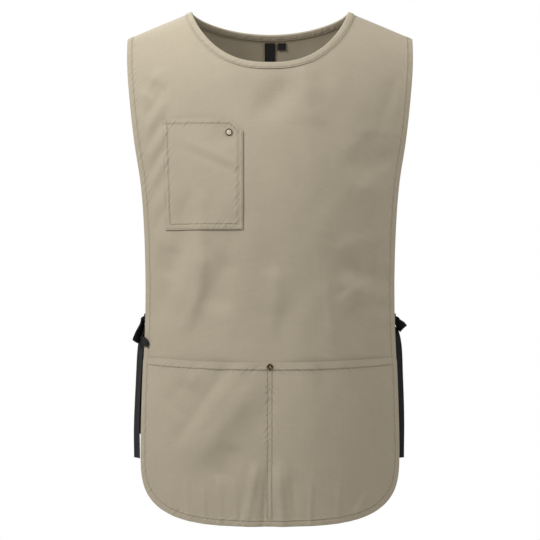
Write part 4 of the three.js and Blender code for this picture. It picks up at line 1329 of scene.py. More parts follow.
@dataclass
class Finishes:
    """Every material of the apron, made once.

    Attributes:
        twill: of the panels and the chest pocket.
        binding: of the neck binding.
        pocket: of the lower pocket.
        thread: of every row of stitches.
        tape: of the ties.
        label: of the labels.
        brass: of the rivets.
        rubbed: of the bright middles of their caps.
    """

    twill: bpy.types.Material
    binding: bpy.types.Material
    pocket: bpy.types.Material
    thread: bpy.types.Material
    tape: bpy.types.Material
    label: bpy.types.Material
    brass: bpy.types.Material
    rubbed: bpy.types.Material

    @staticmethod
    def make() -> "Finishes":
        """Builds the materials and the node groups that they share.

        Returns:
            The materials.
        """
        groups = {"twill": Weave().group(), "pucker": Pucker().group()}
        rubbed = BrassFinish(
            "rubbed_brass", dark=(0.4, 0.35, 0.26), bright=(0.72, 0.65, 0.5), metallic=0.25
        )
        tape = TapeFinish("black_tape", colour=(0.006, 0.006, 0.0065), ribs=700.0, roughness=0.8)
        label = TapeFinish("black_label", colour=(0.006, 0.006, 0.007), ribs=1600.0, roughness=0.55)
        return Finishes(
            twill=TwillFinish("tan_twill", TAN).make(groups),
            binding=TwillFinish("tan_twill_binding", TAN, seam_inset=0.0072).make(groups),
            pocket=TwillFinish("tan_twill_pocket", TAN, seam_inset=0.011).make(groups),
            thread=ThreadFinish("tan_thread", (0.32, 0.27, 0.19)).make(),
            tape=tape.make(groups),
            label=label.make(groups),
            brass=BrassFinish("old_brass", dark=(0.035, 0.025, 0.014), bright=(0.2, 0.145, 0.075)).make(),
            rubbed=rubbed.make(),
        )


def filled(form: PanelForm, top: Array, bottom: Array, ends: tuple[float, float], ways: Array) -> Array:
    """Fills the cloth between two lines of the right half, bowed out to the hem's inner edge.

    Args:
        form: the panel's form.
        top: the upper line's places, from the centre out.
        bottom: the lower line's places.
        ends: the shares of the hem's inner edge where the lines end.
        ways: how far down each row lies, from 0 to 1.

    Returns:
        Rows and columns of places.
    """
    rim = form.inset_edge(HEM_END)
    columns = np.linspace(0, 1, len(top))
    chord = mixed(top[-1][None], bottom[-1][None], ways)
    bow = rim.at(ends[0] + (ends[1] - ends[0]) * ways) - chord
    rows = top[None] + (bottom - top)[None] * ways[:, None, None]
    return rows + bow[:, None] * columns[None, :, None] ** 2


def both_halves(rows: Array) -> Array:
    """Returns rows of the right half with those of the left half before them."""
    return np.concatenate([mirrored(rows[:, :0:-1]), rows], axis=1)


def all_round(right: Array) -> Array:
    """Returns a line that ends at the centre, and goes on over the other half."""
    return np.concatenate([right, mirrored(right[-2::-1])])


def inset_of(main: Array) -> Array:
    """Returns how far in from the free edge the places between the hems are."""
    side = np.abs(main[:, -1:, 0]) - np.abs(main[..., 0])
    return HEM_END + np.minimum(side, main[-1:, :, 1] - main[..., 1])


def hem_band(form: PanelForm, insets: Array, shares: Array, side: Array, bottom: Array) -> Array:
    """Lays the lines of a hem round the free edge of the right half.

    Args:
        form: the panel's form.
        insets: how far in from the edge each line is, the innermost first.
        shares: shares of the edge at which each line has its places.
        side: the places down the side where the cloth between the hems ends.
        bottom: its places at the bottom, from the centre out.

    Returns:
        Rows and columns of places.
    """
    band = np.stack([form.inset_edge(inset).at(shares) for inset in insets])
    band[0, : len(side)] = side
    band[0, len(side) - 1 :] = bottom[::-1]
    return band


@dataclass
class PanelPiece:
    """A panel with its folded hem.

    Attributes:
        form: the panel's form.
        name: of the CAD node that it stands for.
        flat: width and length of its cut, in metres; not used.
        area: flat area of the cut, in square metres; not used.
        columns: in each half.
        rows: from the neck to the hem.
        neck_share: share of the columns that start at the neckline.
        neck_crowding: how much the columns crowd towards the neck point.
        row_crowding: how much the rows crowd towards the top.
        shoulder_gap: how far the panel stops short of the shoulder line.
        hem: how far in from the edge each line of the hem is, and how fully it is folded there.
        stitches: how many places the run of stitches is laid through.
        thread_lift: how far the thread lies off the hem.
    """

    form: PanelForm
    name: str
    flat: tuple[float, float]
    area: float
    columns: int = 60
    rows: int = 185
    neck_share: float = 0.66
    neck_crowding: float = 1.3
    row_crowding: float = 1.15
    shoulder_gap: float = 0.1
    hem: tuple[tuple[float, float], ...] = (
        (HEM_END, 0.0), (9.4, 0.35), (8.6, 0.9), (7.5, 0.8), (6.4, 0.95), (4.5, 1.0), (2.4, 1.0),
        (1.0, 0.9), (0.3, 0.7), (0.0, 0.45),
    )
    stitches: int = 500
    thread_lift: float = 0.05

    def build(self, finishes: Finishes) -> bpy.types.Object:
        """Args:
            finishes: the materials.

        Returns:
            The panel's cloth.
        """
        form = self.form
        rim = form.inset_edge(HEM_END)
        corner = rim.share_where(down_at, BODY_LENGTH - CORNER_SHARE * HEM_CORNER_HEIGHT)
        neck_columns = round(self.columns * self.neck_share)
        crowded = 1 - (1 - np.linspace(0, 1, neck_columns + 1)) ** self.neck_crowding
        neck = form.neck_places(crowded, 0.0)
        out = np.linspace(0, 1, self.columns - neck_columns + 1)[1:]
        top = np.concatenate([neck, mixed(neck[-1][None], rim.at(0.0)[None], out)])
        top[:, 1] = np.maximum(top[:, 1], self.shoulder_gap)
        bottom_shares = 1 - (1 - corner) * np.linspace(0, 1, self.columns + 1)
        bottom = rim.at(bottom_shares)
        ways = np.linspace(0, 1, self.rows + 1) ** self.row_crowding
        right = filled(form, top, bottom, (0, corner), ways)
        main = both_halves(right)
        cut = FlatCut(form)
        cut.add(main, 0.0, 0.0, inset_of(main))
        insets, folds = np.array(self.hem).T
        shares = np.concatenate([corner * ways, bottom_shares[-2::-1]])
        band = hem_band(form, insets, shares, right[:, -1], bottom)
        band[:, 0, 1] = self.shoulder_gap
        for places in (band, mirrored(band)):
            cut.add(places, 0.0, folds[:, None], insets[:, None])
        piece = cut.hang(f"{self.name}_cloth")
        dress(piece, finishes.twill)
        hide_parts(self.name)
        self._sew(finishes)
        return piece

    def _sew(self, finishes: Finishes) -> None:
        """Sews the hem along its outside.

        Args:
            finishes: the materials.
        """
        start = 0.004
        right = self.form.inset_edge(HEM_SEAM).at(np.linspace(start, 1, self.stitches))
        threads = Stitching()
        threads.on_form(self.form, all_round(right), HEM_CLOTH / 2 + self.thread_lift)
        threads.finish(f"{self.name}_stitches", finishes.thread)


@dataclass
class NeckBinding:
    """The folded band round the whole neck opening.

    Attributes:
        front: form of the front panel.
        back: form of the back panel.
        around: columns along each half of each neckline.
        thickness: of the band's cloth.
        seam: how far into the cloth its stitches run.
        thread_lift: how far the thread's middle lies off the middle of the band's cloth.
        outside: how far into the cloth each row of the band's outer half is, and how far off the
            middle of the panel's cloth, from its seam to the fold over the edge.
    """

    front: PanelForm
    back: PanelForm
    around: int = 90
    thickness: float = 0.85
    seam: float = 6.9
    thread_lift: float = 0.5
    outside: tuple[tuple[float, float], ...] = (
        (8.4, 1.3), (7.4, 1.4), (5.6, 1.5), (3.6, 1.5), (1.8, 1.5), (0.4, 1.45), (-0.45, 1.2),
        (-0.85, 0.65), (-0.95, 0.0),
    )

    @property
    def section(self) -> list[tuple[float, float]]:
        """The rows of the whole band, over the edge and down the inside alike."""
        return [*self.outside, *((into, -lift) for into, lift in self.outside[-2::-1])]

    def ring(self, into: float, lift: float) -> tuple[Array, Array]:
        """Returns a line right round the neck opening.

        Args:
            into: how far into the cloth it lies.
            lift: how far off the middle of the cloth.

        Returns:
            Its points, and the outward direction of the cloth there.
        """
        shares = np.linspace(0, 1, self.around + 1)
        points, outs = [], []
        for form, turn in ((self.front, 1), (self.back, -1)):
            right = form.neck_places(shares, into)
            places = np.concatenate([mirrored(right[::-1]), right[1:]])[::turn][:-1]
            points.append(form.on(places, np.full(len(places), lift)))
            outs.append(form.normal(places))
        return np.concatenate(points), np.concatenate(outs)

    def build(self, finishes: Finishes) -> bpy.types.Object:
        """Args:
            finishes: the materials.

        Returns:
            The band.
        """
        rings = np.stack([self.ring(into, lift)[0] for into, lift in self.section])
        rings = np.concatenate([rings, rings[:, :1]], axis=1)
        along = way_along(rings[len(self.outside) - 1])
        across = np.linspace(0, 2 * BINDING_WIDTH, len(self.section))
        insets = np.array([into for into, lift in self.section])
        piece = ribbon("neck_binding_band", rings, along, across, insets)
        thicken(piece, self.thickness)
        dress(piece, finishes.binding)
        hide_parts("neck_binding")
        threads = Stitching()
        height = self.outside[0][1]
        for side in (1, -1):
            points, outs = self.ring(self.seam, side * (height + self.thread_lift))
            closed = np.concatenate([points, points[:1]])
            threads.run(closed, np.concatenate([outs, outs[:1]]) * side)
        threads.finish("neck_binding_stitches", finishes.thread)
        return piece


def ribbon(name: str, points: Array, along: Array, across: Array, insets: Array) -> bpy.types.Object:
    """Makes a closed band of cloth that is bent in space.

    Args:
        name: the piece's name.
        points: its rows across, each a closed line of points along it, in millimetres.
        along: how far along the band each column is.
        across: how far across it each row is.
        insets: how far in from the edge each row is.

    Returns:
        The piece, still without thickness.
    """
    strip = bmesh.new()
    layers = (strip.loops.layers.uv.new("pattern"), strip.loops.layers.uv.new("seam"))
    add_strip(strip, layers, points, along, across, insets)
    bmesh.ops.remove_doubles(strip, verts=strip.verts, dist=1e-7)
    return finished(name, as_mesh(name, strip))


def add_strip(
    strip: bmesh.types.BMesh,
    layers: tuple[bmesh.types.BMLayerItem, bmesh.types.BMLayerItem],
    points: Array,
    along: Array,
    across: Array,
    insets: Array,
) -> None:
    """Adds a grid bent through rows of points to a mesh, with its two maps.

    Args:
        strip: the mesh.
        layers: the maps for the pattern and for the seam.
        points: rows across of points along, in millimetres.
        along: the way along at each column.
        across: the way across at each row.
        insets: the way in from the edge at each row.
    """
    rows, columns = points.shape[:2]
    where = grid_in(strip, rows, columns)
    for vert, (j, i) in where.items():
        vert.co = points[j, i] * MM
    for face in {face for vert in where for face in vert.link_faces}:
        for loop in face.loops:
            j, i = where[loop.vert]
            loop[layers[0]].uv = (along[i] * MM, across[j] * MM)
            loop[layers[1]].uv = (insets[j] * MM, 0)


def pinch(places: Array, rivet: Array) -> Array:
    """Returns how strongly a rivet holds the layers together, from 1 at it to 0 away from it."""
    return np.exp(-((np.linalg.norm(places - rivet, axis=-1) / PINCH_REACH) ** 4))


@dataclass
class LowerPocket:
    """The wide patch pocket, divided in the middle by a double seam.

    Attributes:
        form: the front panel's form.
        gape: how far each half stands off the panel at most.
        columns: in each half.
        rows: from the mouth to the hem.
        sewn: lift of its cloth off the panel's where it is sewn down.
        cloth: thickness of its cloth, single and folded.
        calm: how much less its mouth stands off away from the pouts.
        side_power: how fast it rises from its seams.
        rise_power: how fast it rises from its bottom.
        hem_soft: how far the mouth's hem takes to thin out.
        hem_rise: how much higher the hem lies.
        hem: how far in from the edge each line of its own hem is, and its lift.
        seam_columns: columns beside the middle, as shares of CENTRE_SEAM.
        mouth_rows: rows in the mouth's hem.
        mouth_share: share of the height that they take up.
        thread_lifts: of the threads off the cloth at the mouth and the middle, and at the hem in all.
    """

    form: PanelForm
    gape: float = 4.5
    columns: int = 64
    rows: int = 64
    sewn: float = 1.35
    cloth: tuple[float, float] = (0.9, 1.4)
    calm: float = 0.6
    side_power: float = 0.6
    rise_power: float = 1.5
    hem_soft: float = 1.5
    hem_rise: float = 0.15
    hem: tuple[tuple[float, float], ...] = (
        (HEM_END, 1.35), (9.4, 1.5), (8.6, 1.65), (7.5, 1.6), (6.2, 1.75), (4.5, 1.8), (2.6, 1.75),
        (1.2, 1.65), (0.5, 1.5),
    )
    seam_columns: tuple[float, ...] = (0, 0.4, 0.8, 1.1, 1.4, 1.8, 2.4)
    mouth_rows: int = 9
    mouth_share: float = 0.06
    thread_lifts: Triple = (0.95, 0.5, 2.15)

    @property
    def rivet(self) -> Array:
        """The place of the rivet on top of the dividing seam."""
        return place_at(0.0, POCKET_MOUTH_DOWN + POCKET_RIVET_DOWN)

    def lift(self, places: Array) -> Array:
        """Works out how far the pocket stands off.

        Args:
            places: places on the pattern.

        Returns:
            How far its cloth is lifted off the panel's there.
        """
        down = down_at(places)
        x = places[..., 0]
        seam = DIVIDING_SEAM_WIDTH / 2
        across = clamp((np.abs(x) - seam) / (self.form.half_width(down) - HEM_END - seam))
        up = clamp((BODY_LENGTH - HEM_WIDTH - down) / (BODY_LENGTH - HEM_WIDTH - mouth_down(x)))
        pout = sum(np.exp(-(((x - middle) / POUT_WIDTH) ** 2)) for middle in MOUTH_POUTS)
        calm = 1 - self.calm * up**4 * (1 - clamp(pout))
        rise = np.sin(math.pi / 2 * up) ** self.rise_power
        stand = np.sin(math.pi * across) ** self.side_power * rise * calm
        return self.sewn + self.gape * stand * (1 - pinch(places, self.rivet))

    def mouth_hem(self, places: Array) -> tuple[Array, Array]:
        """Returns how far below the mouth places are, and how much of its hem they have."""
        below = below_mouth(places)
        return below, clamp((MOUTH_HEM_WIDTH - below) / self.hem_soft)

    def build(self, finishes: Finishes) -> bpy.types.Object:
        """Args:
            finishes: the materials.

        Returns:
            The pocket's cloth.
        """
        form = self.form
        rim = form.inset_edge(HEM_END)
        corner = rim.share_where(down_at, BODY_LENGTH - CORNER_SHARE * HEM_CORNER_HEIGHT)
        start = rim.share_where(below_mouth, 0)
        end = rim.at(start)
        seams = np.array(self.seam_columns) * CENTRE_SEAM / end[0]
        across = np.concatenate([seams, np.linspace(seams[-1], 1, self.columns)[1:]])
        top = place_at(end[0] * across, mouth_down(end[0] * across))
        top[-1] = end
        bottom_shares = 1 - (1 - corner) * across
        bottom = rim.at(bottom_shares)
        near_mouth = np.linspace(0, self.mouth_share, self.mouth_rows)
        ways = np.concatenate([near_mouth, np.linspace(self.mouth_share, 1, self.rows)[1:]])
        right = filled(form, top, bottom, (start, corner), ways)
        main = both_halves(right)
        below, hem = self.mouth_hem(main)
        single, folded = self.cloth
        cut = FlatCut(form, cloth=single, folded=folded)
        beside = np.minimum(inset_of(main) - HEM_SEAM, np.abs(main[..., 0]) - CENTRE_SEAM)
        lift = self.lift(main) + self.hem_rise * hem
        cut.add(main, lift, hem, np.minimum(below, MOUTH_SEAM + beside))
        shares = np.concatenate([start + (corner - start) * ways, bottom_shares[-2::-1]])
        insets, lifts = np.array(self.hem).T
        band = hem_band(form, insets, shares, right[:, -1], bottom)
        inner_line = np.arange(len(insets))[:, None] < 1
        for places in (band, mirrored(band)):
            below, hem = self.mouth_hem(places)
            hem = hem * inner_line
            to_edge = insets[:, None] + MOUTH_SEAM - HEM_SEAM
            cut.add(places, lifts[:, None] + self.hem_rise * hem, hem, np.minimum(below, to_edge))
        piece = cut.hang("lower_pocket_cloth")
        dress(piece, finishes.pocket)
        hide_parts("lower_pocket")
        self._sew(end[0], finishes)
        return piece

    def _sew(self, half: float, finishes: Finishes) -> None:
        """Sews the mouth's hem, the double dividing seam and the hem round its edge.

        Args:
            half: half the mouth's width.
            finishes: the materials.
        """
        threads = Stitching()
        mouth_lift, seam_lift, hem_lift = self.thread_lifts
        mouth_end = 2
        x = np.linspace(mouth_end - half, half - mouth_end, 300)
        mouth = place_at(x, mouth_down(x) + MOUTH_SEAM)
        threads.on_form(self.form, mouth, self.lift(mouth) + mouth_lift)
        first, last = POCKET_MOUTH_DOWN + 1.5, BODY_LENGTH - HEM_WIDTH
        for side in (-CENTRE_SEAM, CENTRE_SEAM):
            seam = place_at(side, np.linspace(first, last, 120))
            threads.on_form(self.form, seam, self.lift(seam) + seam_lift)
        edge = self.form.inset_edge(HEM_SEAM)
        right = edge.at(np.linspace(edge.share_where(below_mouth, 0), 1, 260))
        threads.on_form(self.form, all_round(right), hem_lift)
        threads.finish("lower_pocket_stitches", finishes.thread)


@dataclass
class ChestPocket:
    """The patch pocket on the wearer's right, with its upper inner corner cut off.

    Attributes:
        form: the front panel's form.
        gape: how far its middle stands off the panel.
        columns: across.
        rows: down.
        sewn: lift of its cloth off the panel's where it is sewn down.
        cloth: thickness of its cloth, single and folded.
        uncut: share of its width before the cut corner.
        hems: widths of its folded edge and of the hem in its mouth.
        hem_soft: how far they take to thin out.
        hem_rise: how much higher they lie.
        seams: how far in from the edge its rows of stitches run.
        thread_lifts: of the rows and of the bar tacks off the cloth.
        mouth_end: how near the mouth the rows start, as a share.
        tack_shift: from one thread of a bar tack to the next, as a share of the height.
        tacks: where each bar tack starts and ends, as shares across and down.
    """

    form: PanelForm
    gape: float = 2.3
    columns: int = 56
    rows: int = 66
    sewn: float = 1.6
    cloth: tuple[float, float] = (0.9, 1.3)
    uncut: float = 0.8
    hems: tuple[float, float] = (8.5, 10.5)
    hem_soft: float = 1.2
    hem_rise: float = 0.1
    seams: tuple[float, float] = (2.0, 8.0)
    thread_lifts: tuple[float, float] = (0.9, 0.95)
    mouth_end: float = 0.01
    tack_shift: float = 0.003
    tacks: tuple[tuple[tuple[float, float], tuple[float, float]], ...] = (
        ((0.02, 0.006), (0.06, 0.006)),
        ((0.06, 0.006), (0.06, 0.04)),
        ((0.02, 0.04), (0.06, 0.04)),
        ((0.94, 0.24), (0.985, 0.24)),
        ((0.94, 0.32), (0.985, 0.32)),
    )

    @property
    def rivet(self) -> Array:
        """The place of the rivet at the mouth."""
        return place_at(CHEST_INNER - CHEST_RIVET_INSET, CHEST_DOWN + CHEST_RIVET_DOWN)

    def places(self, across: Array, way: Array) -> Array:
        """Returns places on the pocket.

        Args:
            across: from 0 at the outer edge to 1 at the inner edge.
            way: from 0 at the mouth to 1 at the bottom.

        Returns:
            The places on the pattern.
        """
        across, way = np.broadcast_arrays(across, way)
        run = clamp(across / self.uncut)
        corner = clamp((across - self.uncut) / (1 - self.uncut))
        x = CHEST_INNER - CHEST_WIDTH + (CHEST_WIDTH - CUT_CORNER) * run + CUT_CORNER * corner
        rise = CHEST_RISE * (CHEST_INNER - x) / CHEST_WIDTH
        mouth = CHEST_DOWN - rise + np.maximum(x - (CHEST_INNER - CUT_CORNER), 0)
        down = mouth + (CHEST_DOWN + CHEST_HEIGHT - mouth) * way
        taper = CHEST_TAPER * (down - CHEST_DOWN) / CHEST_HEIGHT
        return place_at(x + taper * (1 - across), down)

    def lift(self, places: Array) -> Array:
        """Works out how far the pocket stands off.

        Args:
            places: places on the pattern.

        Returns:
            How far its cloth is lifted off the panel's there.
        """
        across = clamp((CHEST_INNER - places[..., 0]) / CHEST_WIDTH)
        up = clamp((CHEST_DOWN + CHEST_HEIGHT - down_at(places)) / CHEST_HEIGHT)
        stand = np.sin(math.pi * across) * np.sin(math.pi / 2 * up)
        return self.sewn + self.gape * stand * (1 - pinch(places, self.rivet))

    def build(self, finishes: Finishes) -> bpy.types.Object:
        """Args:
            finishes: the materials.

        Returns:
            The pocket's cloth.
        """
        even = np.linspace(0, 1, self.columns + 1)
        across = (np.sin(math.pi * (even - 0.5)) * 0.5 + 0.5 + even) / 2
        ways = np.linspace(0, 1, self.rows + 1)
        main = self.places(across[None], ways[:, None])
        side = np.minimum(main[..., 0] - main[:, :1, 0], main[:, -1:, 0] - main[..., 0])
        height = down_at(main)
        below = height - height[:1]
        sewn_edge = np.minimum(side, height[-1:] - height)
        edge_hem, mouth_hem = self.hems
        fold = clamp((edge_hem - sewn_edge) / self.hem_soft)
        fold = np.maximum(fold, clamp((mouth_hem - below) / self.hem_soft))
        single, folded = self.cloth
        cut = FlatCut(self.form, cloth=single, folded=folded)
        cut.add(main, self.lift(main) + self.hem_rise * fold, fold, np.minimum(sewn_edge, below))
        piece = cut.hang("chest_pocket_cloth")
        dress(piece, finishes.twill)
        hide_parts("chest_pocket")
        self._sew(finishes)
        return piece

    def _row(self, threads: Stitching, shares: Array, lift: float) -> None:
        """Sews a row through shares across and down, at a lift off the pocket's cloth."""
        places = self.places(shares[:, 0], shares[:, 1])
        threads.on_form(self.form, places, self.lift(places) + lift)

    def _sew(self, finishes: Finishes) -> None:
        """Sews two rows round the edge, the mouth's hem and the bar tacks.

        Args:
            finishes: the materials.
        """
        threads = Stitching(pitch=2.8, length=2.1)
        row_lift, tack_lift = self.thread_lifts
        mouth = self.mouth_end
        for inset in self.seams:
            x, y = inset / CHEST_WIDTH, inset / CHEST_HEIGHT
            left = straight((x, mouth), (x, 1 - y), 90)
            low = straight((x, 1 - y), (1 - x, 1 - y), 60)
            right = straight((1 - x, 1 - y), (1 - x, mouth), 90)
            self._row(threads, np.concatenate([left, low[1:], right[1:]]), row_lift)
        self._row(threads, straight((mouth, y), (1 - mouth, y), 90), row_lift)
        for start, end in self.tacks:
            for shift in (-self.tack_shift, 0.0, self.tack_shift):
                self._row(threads, straight(start, end, 8) + np.array([0.0, shift]), tack_lift)
        threads.finish("chest_pocket_stitches", finishes.thread)


@dataclass
class Rivet:
    """A ringed cap on the face of a pocket, on a shank that goes through to a washer inside.

    Attributes:
        name: of the CAD node that it stands for.
        form: the front panel's form.
        place: on the pattern.
        lift: how far its seat is off the middle of the panel's cloth.
        diameter: of the cap.
        ring: how wide the cap's raised ring is, as a share of its radius.
        bright: whether the whole of the cap within the ring is rubbed bright.
        shank: its radius.
        washer: radius of the washer, as a share of the cap's.
    """

    name: str
    form: PanelForm
    place: Array
    lift: float
    diameter: float
    ring: float
    bright: bool
    shank: float = 1.5
    washer: float = 0.8

    def profile(self) -> list[tuple[float, float]]:
        """Draws the rivet's outline.

        Returns:
            Radius and height of the cap, the shank and the washer, from the top down.
        """
        cap = self.diameter / 2
        inner = cap * (1 - self.ring)
        washer = cap * self.washer
        inside = -self.lift
        return [
            (0.0, 0.75),
            (inner * 0.45, 0.7),
            (inner * 0.8, 0.5),
            (inner, 0.55),
            (inner + cap * 0.08, 1.1),
            (cap * (1 - self.ring * 0.45), 1.55),
            (cap * 0.95, 1.2),
            (cap, 0.65),
            (cap * 0.97, 0.2),
            (self.shank, 0.12),
            (self.shank, inside - 0.9),
            (washer * 0.975, inside - 1.0),
            (washer, inside - 1.4),
            (washer * 0.625, inside - 1.75),
            (0.0, inside - 1.8),
        ]

    def build(self, finishes: Finishes) -> bpy.types.Object:
        """Turns the rivet from its profile and sets it on the cloth.

        Args:
            finishes: the materials.

        Returns:
            The rivet.
        """
        turned = bmesh.new()
        line = [turned.verts.new((radius, 0, height)) for radius, height in self.profile()]
        edges = [turned.edges.new(pair) for pair in zip(line, line[1:])]
        spin = {"cent": (0, 0, 0), "axis": (0, 0, 1), "angle": math.tau, "steps": 40}
        bmesh.ops.spin(turned, geom=line + edges, use_merge=True, **spin)
        bmesh.ops.remove_doubles(turned, verts=turned.verts, dist=1e-4)
        bmesh.ops.recalc_face_normals(turned, faces=turned.faces)
        top = 0.3
        reach = self.diameter / 2 * (1 - self.ring) * (1.02 if self.bright else 0.5)
        for face in turned.faces:
            middle = face.calc_center_median()
            face.material_index = int(middle.z > top and middle.xy.length < reach)
        up = Vector(self.form.normal(self.place[None])[0])
        seat = Vector(self.form.on(self.place[None], np.array([self.lift]))[0])
        turn = Vector((0, 0, 1)).rotation_difference(up).to_matrix().to_4x4()
        turned.transform(Matrix.Scale(MM, 4) @ Matrix.Translation(seat) @ turn)
        piece = finished(f"{self.name}_turned", as_mesh(self.name, turned))
        rounding = piece.modifiers.new("rounding", "SUBSURF")
        rounding.levels = rounding.render_levels = 1
        dress(piece, finishes.brass)
        piece.data.materials.append(finishes.rubbed)
        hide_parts(self.name)
        return piece


@dataclass
class Label:
    """A plain woven label sewn inside the back neck.

    Attributes:
        name: of the CAD node that it stands for.
        form: the back panel's form.
        x: its middle.
        width: across.
        height: down.
        down: from the neck points to its top.
        lift: how far it lies off the middle of the panel's cloth.
        curl: how much further off its lower end lies.
        turn: how much of its top is folded over.
    """

    name: str
    form: PanelForm
    x: float
    width: float
    height: float
    down: float = 36.0
    lift: float = -1.5
    curl: float = 0.5
    turn: float = 4.0

    def build(self, finishes: Finishes) -> bpy.types.Object:
        """Args:
            finishes: the materials.

        Returns:
            The label.
        """
        across = np.linspace(-self.width / 2, self.width / 2, 13)[None]
        way = np.linspace(0, 1, 25)[:, None]
        places = place_at(self.x + across, self.down + self.height * way)
        cut = FlatCut(self.form, cloth=0.6, folded=0.9)
        fold = clamp((self.turn - self.height * way) / 2)
        cut.add(places, self.lift - self.curl * way**2, fold, 0.0)
        piece = cut.hang(f"{self.name}_woven")
        dress(piece, finishes.label)
        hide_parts(self.name)
        return piece


@dataclass(frozen=True)
class Station:
    """One place on a tape's way, from the middle of its knot.

    Attributes:
        out: away from the wearer.
        forward: towards the front.
        up: upwards.
        width: share of the tape's width that is left in its gathers.
        lean: the way that its width points, also out, forward and up.
    """

    out: float
    forward: float
    up: float
    width: float
    lean: Triple


UPRIGHT = (0.0, 0.0, 1.0)
ACROSS = (-1.0, 0.0, 0.0)
STEEP = (0.1, 0.85, 0.5)
LOOP_START = (4.0, 0.0, -1.0)
FRONT_TAPE_IN = (
    Station(-9, 9, 0, 0.8, UPRIGHT),
    Station(-6.5, 2.6, 0, 0.55, UPRIGHT),
    Station(-3, STRAND, 0, 0.45, UPRIGHT),
    Station(5, STRAND, -0.8, 0.4, UPRIGHT),
)
FRONT_TAPE_OUT = (
    Station(5, -STRAND, -0.8, 0.4, UPRIGHT),
    Station(-3, -STRAND, -0.5, 0.4, UPRIGHT),
    Station(-6.2, -STRAND, -2.5, 0.25, (-0.6, 0.0, 0.8)),
    Station(-7.5, -STRAND, -8, 0.3, ACROSS),
)
BACK_TAPE_IN = (
    Station(-8, -9, 0, 0.7, UPRIGHT),
    Station(-5, -WRAP_FORWARD - 1, 0, 0.45, UPRIGHT),
    Station(0, -WRAP_FORWARD, 0, 0.4, UPRIGHT),
)
BACK_TAPE_OUT = (
    Station(-2, -WRAP_FORWARD, 1, 0.35, ACROSS),
    Station(-4, -WRAP_FORWARD - 0.3, -9, 0.4, ACROSS),
)
# Stations of a loop: share of the way out, width, and how far to its upper side in strands.
LOOP_STATIONS = (
    (0.25, 0.6, 1.3), (0.65, 0.9, 1.5), (1.0, 0.95, 0.85), (1.02, 0.95, 0.0), (1.0, 0.95, -0.85),
    (0.65, 0.9, -1.5), (0.25, 0.6, -1.3),
)
COMING_DOWN = (
    Station(0, WRAP_FORWARD + 0.3, 0, 0.3, UPRIGHT),
    Station(1, WRAP_FORWARD + 2.8, -6, 0.4, STEEP),
    Station(2.5, WRAP_FORWARD + 6.3, -16, 0.45, STEEP),
    Station(4.8, WRAP_FORWARD + 9.3, -27, 0.5, STEEP),
)
BACK_TAIL_OFFS = (-4.4, -4.8, -2.0, -2.0, -2.0)
# Where a tape is sewn on: in from the panel's side edge, and off the middle of its cloth.
ROOT_INSETS = (26.0, 15.0, 8.0)
ROOT_LIFT = -2.4
# The second loop where it is tucked in behind the panel.
TUCKED_LOOP_END = (-6.0, 11.0, -30.0)
TUCKED_LOOP_LEAN = (-0.55, 0.75, 0.31)
# The second loop over the panel's edge: inset, down from the knot, lift and width.
OVER_EDGE = (
    (-3.0, 31.0, 2.0, 0.5), (0.5, 31.5, 2.6, 0.55), (4.0, 33.0, 2.5, 0.5), (7.6, 36.0, 2.9, 0.35),
    (8.4, 37.0, 3.8, 0.3), (7.4, 36.5, 4.6, 0.35), (3.0, 34.0, 4.8, 0.5), (-1.5, 33.0, 4.2, 0.5),
)


@dataclass
class Stop:
    """A station of a tape in the scene's own directions.

    Attributes:
        place: in millimetres.
        width: share of the tape's width.
        lean: the way that its width points.
    """

    place: Array
    width: float
    lean: Array


def smooth_path(points: Array, steps: int) -> Array:
    """Returns points on a centripetal curve through the given ones.

    Args:
        points: the points to pass through.
        steps: between two of them.

    Returns:
        The finer points.
    """
    padded = np.concatenate([[2 * points[0] - points[1]], points, [2 * points[-1] - points[-2]]])
    found = []
    for p0, p1, p2, p3 in zip(padded, padded[1:], padded[2:], padded[3:]):
        d0, d1, d2 = (max(np.linalg.norm(b - a) ** 0.5, 1e-3) for a, b in ((p0, p1), (p1, p2), (p2, p3)))
        start = ((p1 - p0) / d0 - (p2 - p0) / (d0 + d1) + (p2 - p1) / d1) * d1
        end = ((p2 - p1) / d1 - (p3 - p1) / (d1 + d2) + (p3 - p2) / d2) * d1
        for t in np.arange(steps) / steps:
            cubic = (2 * t**3 - 3 * t**2 + 1) * p1 + (3 * t**2 - 2 * t**3) * p2
            found.append(cubic + (t**3 - 2 * t**2 + t) * start + (t**3 - t**2) * end)
    return np.array([*found, points[-1]])


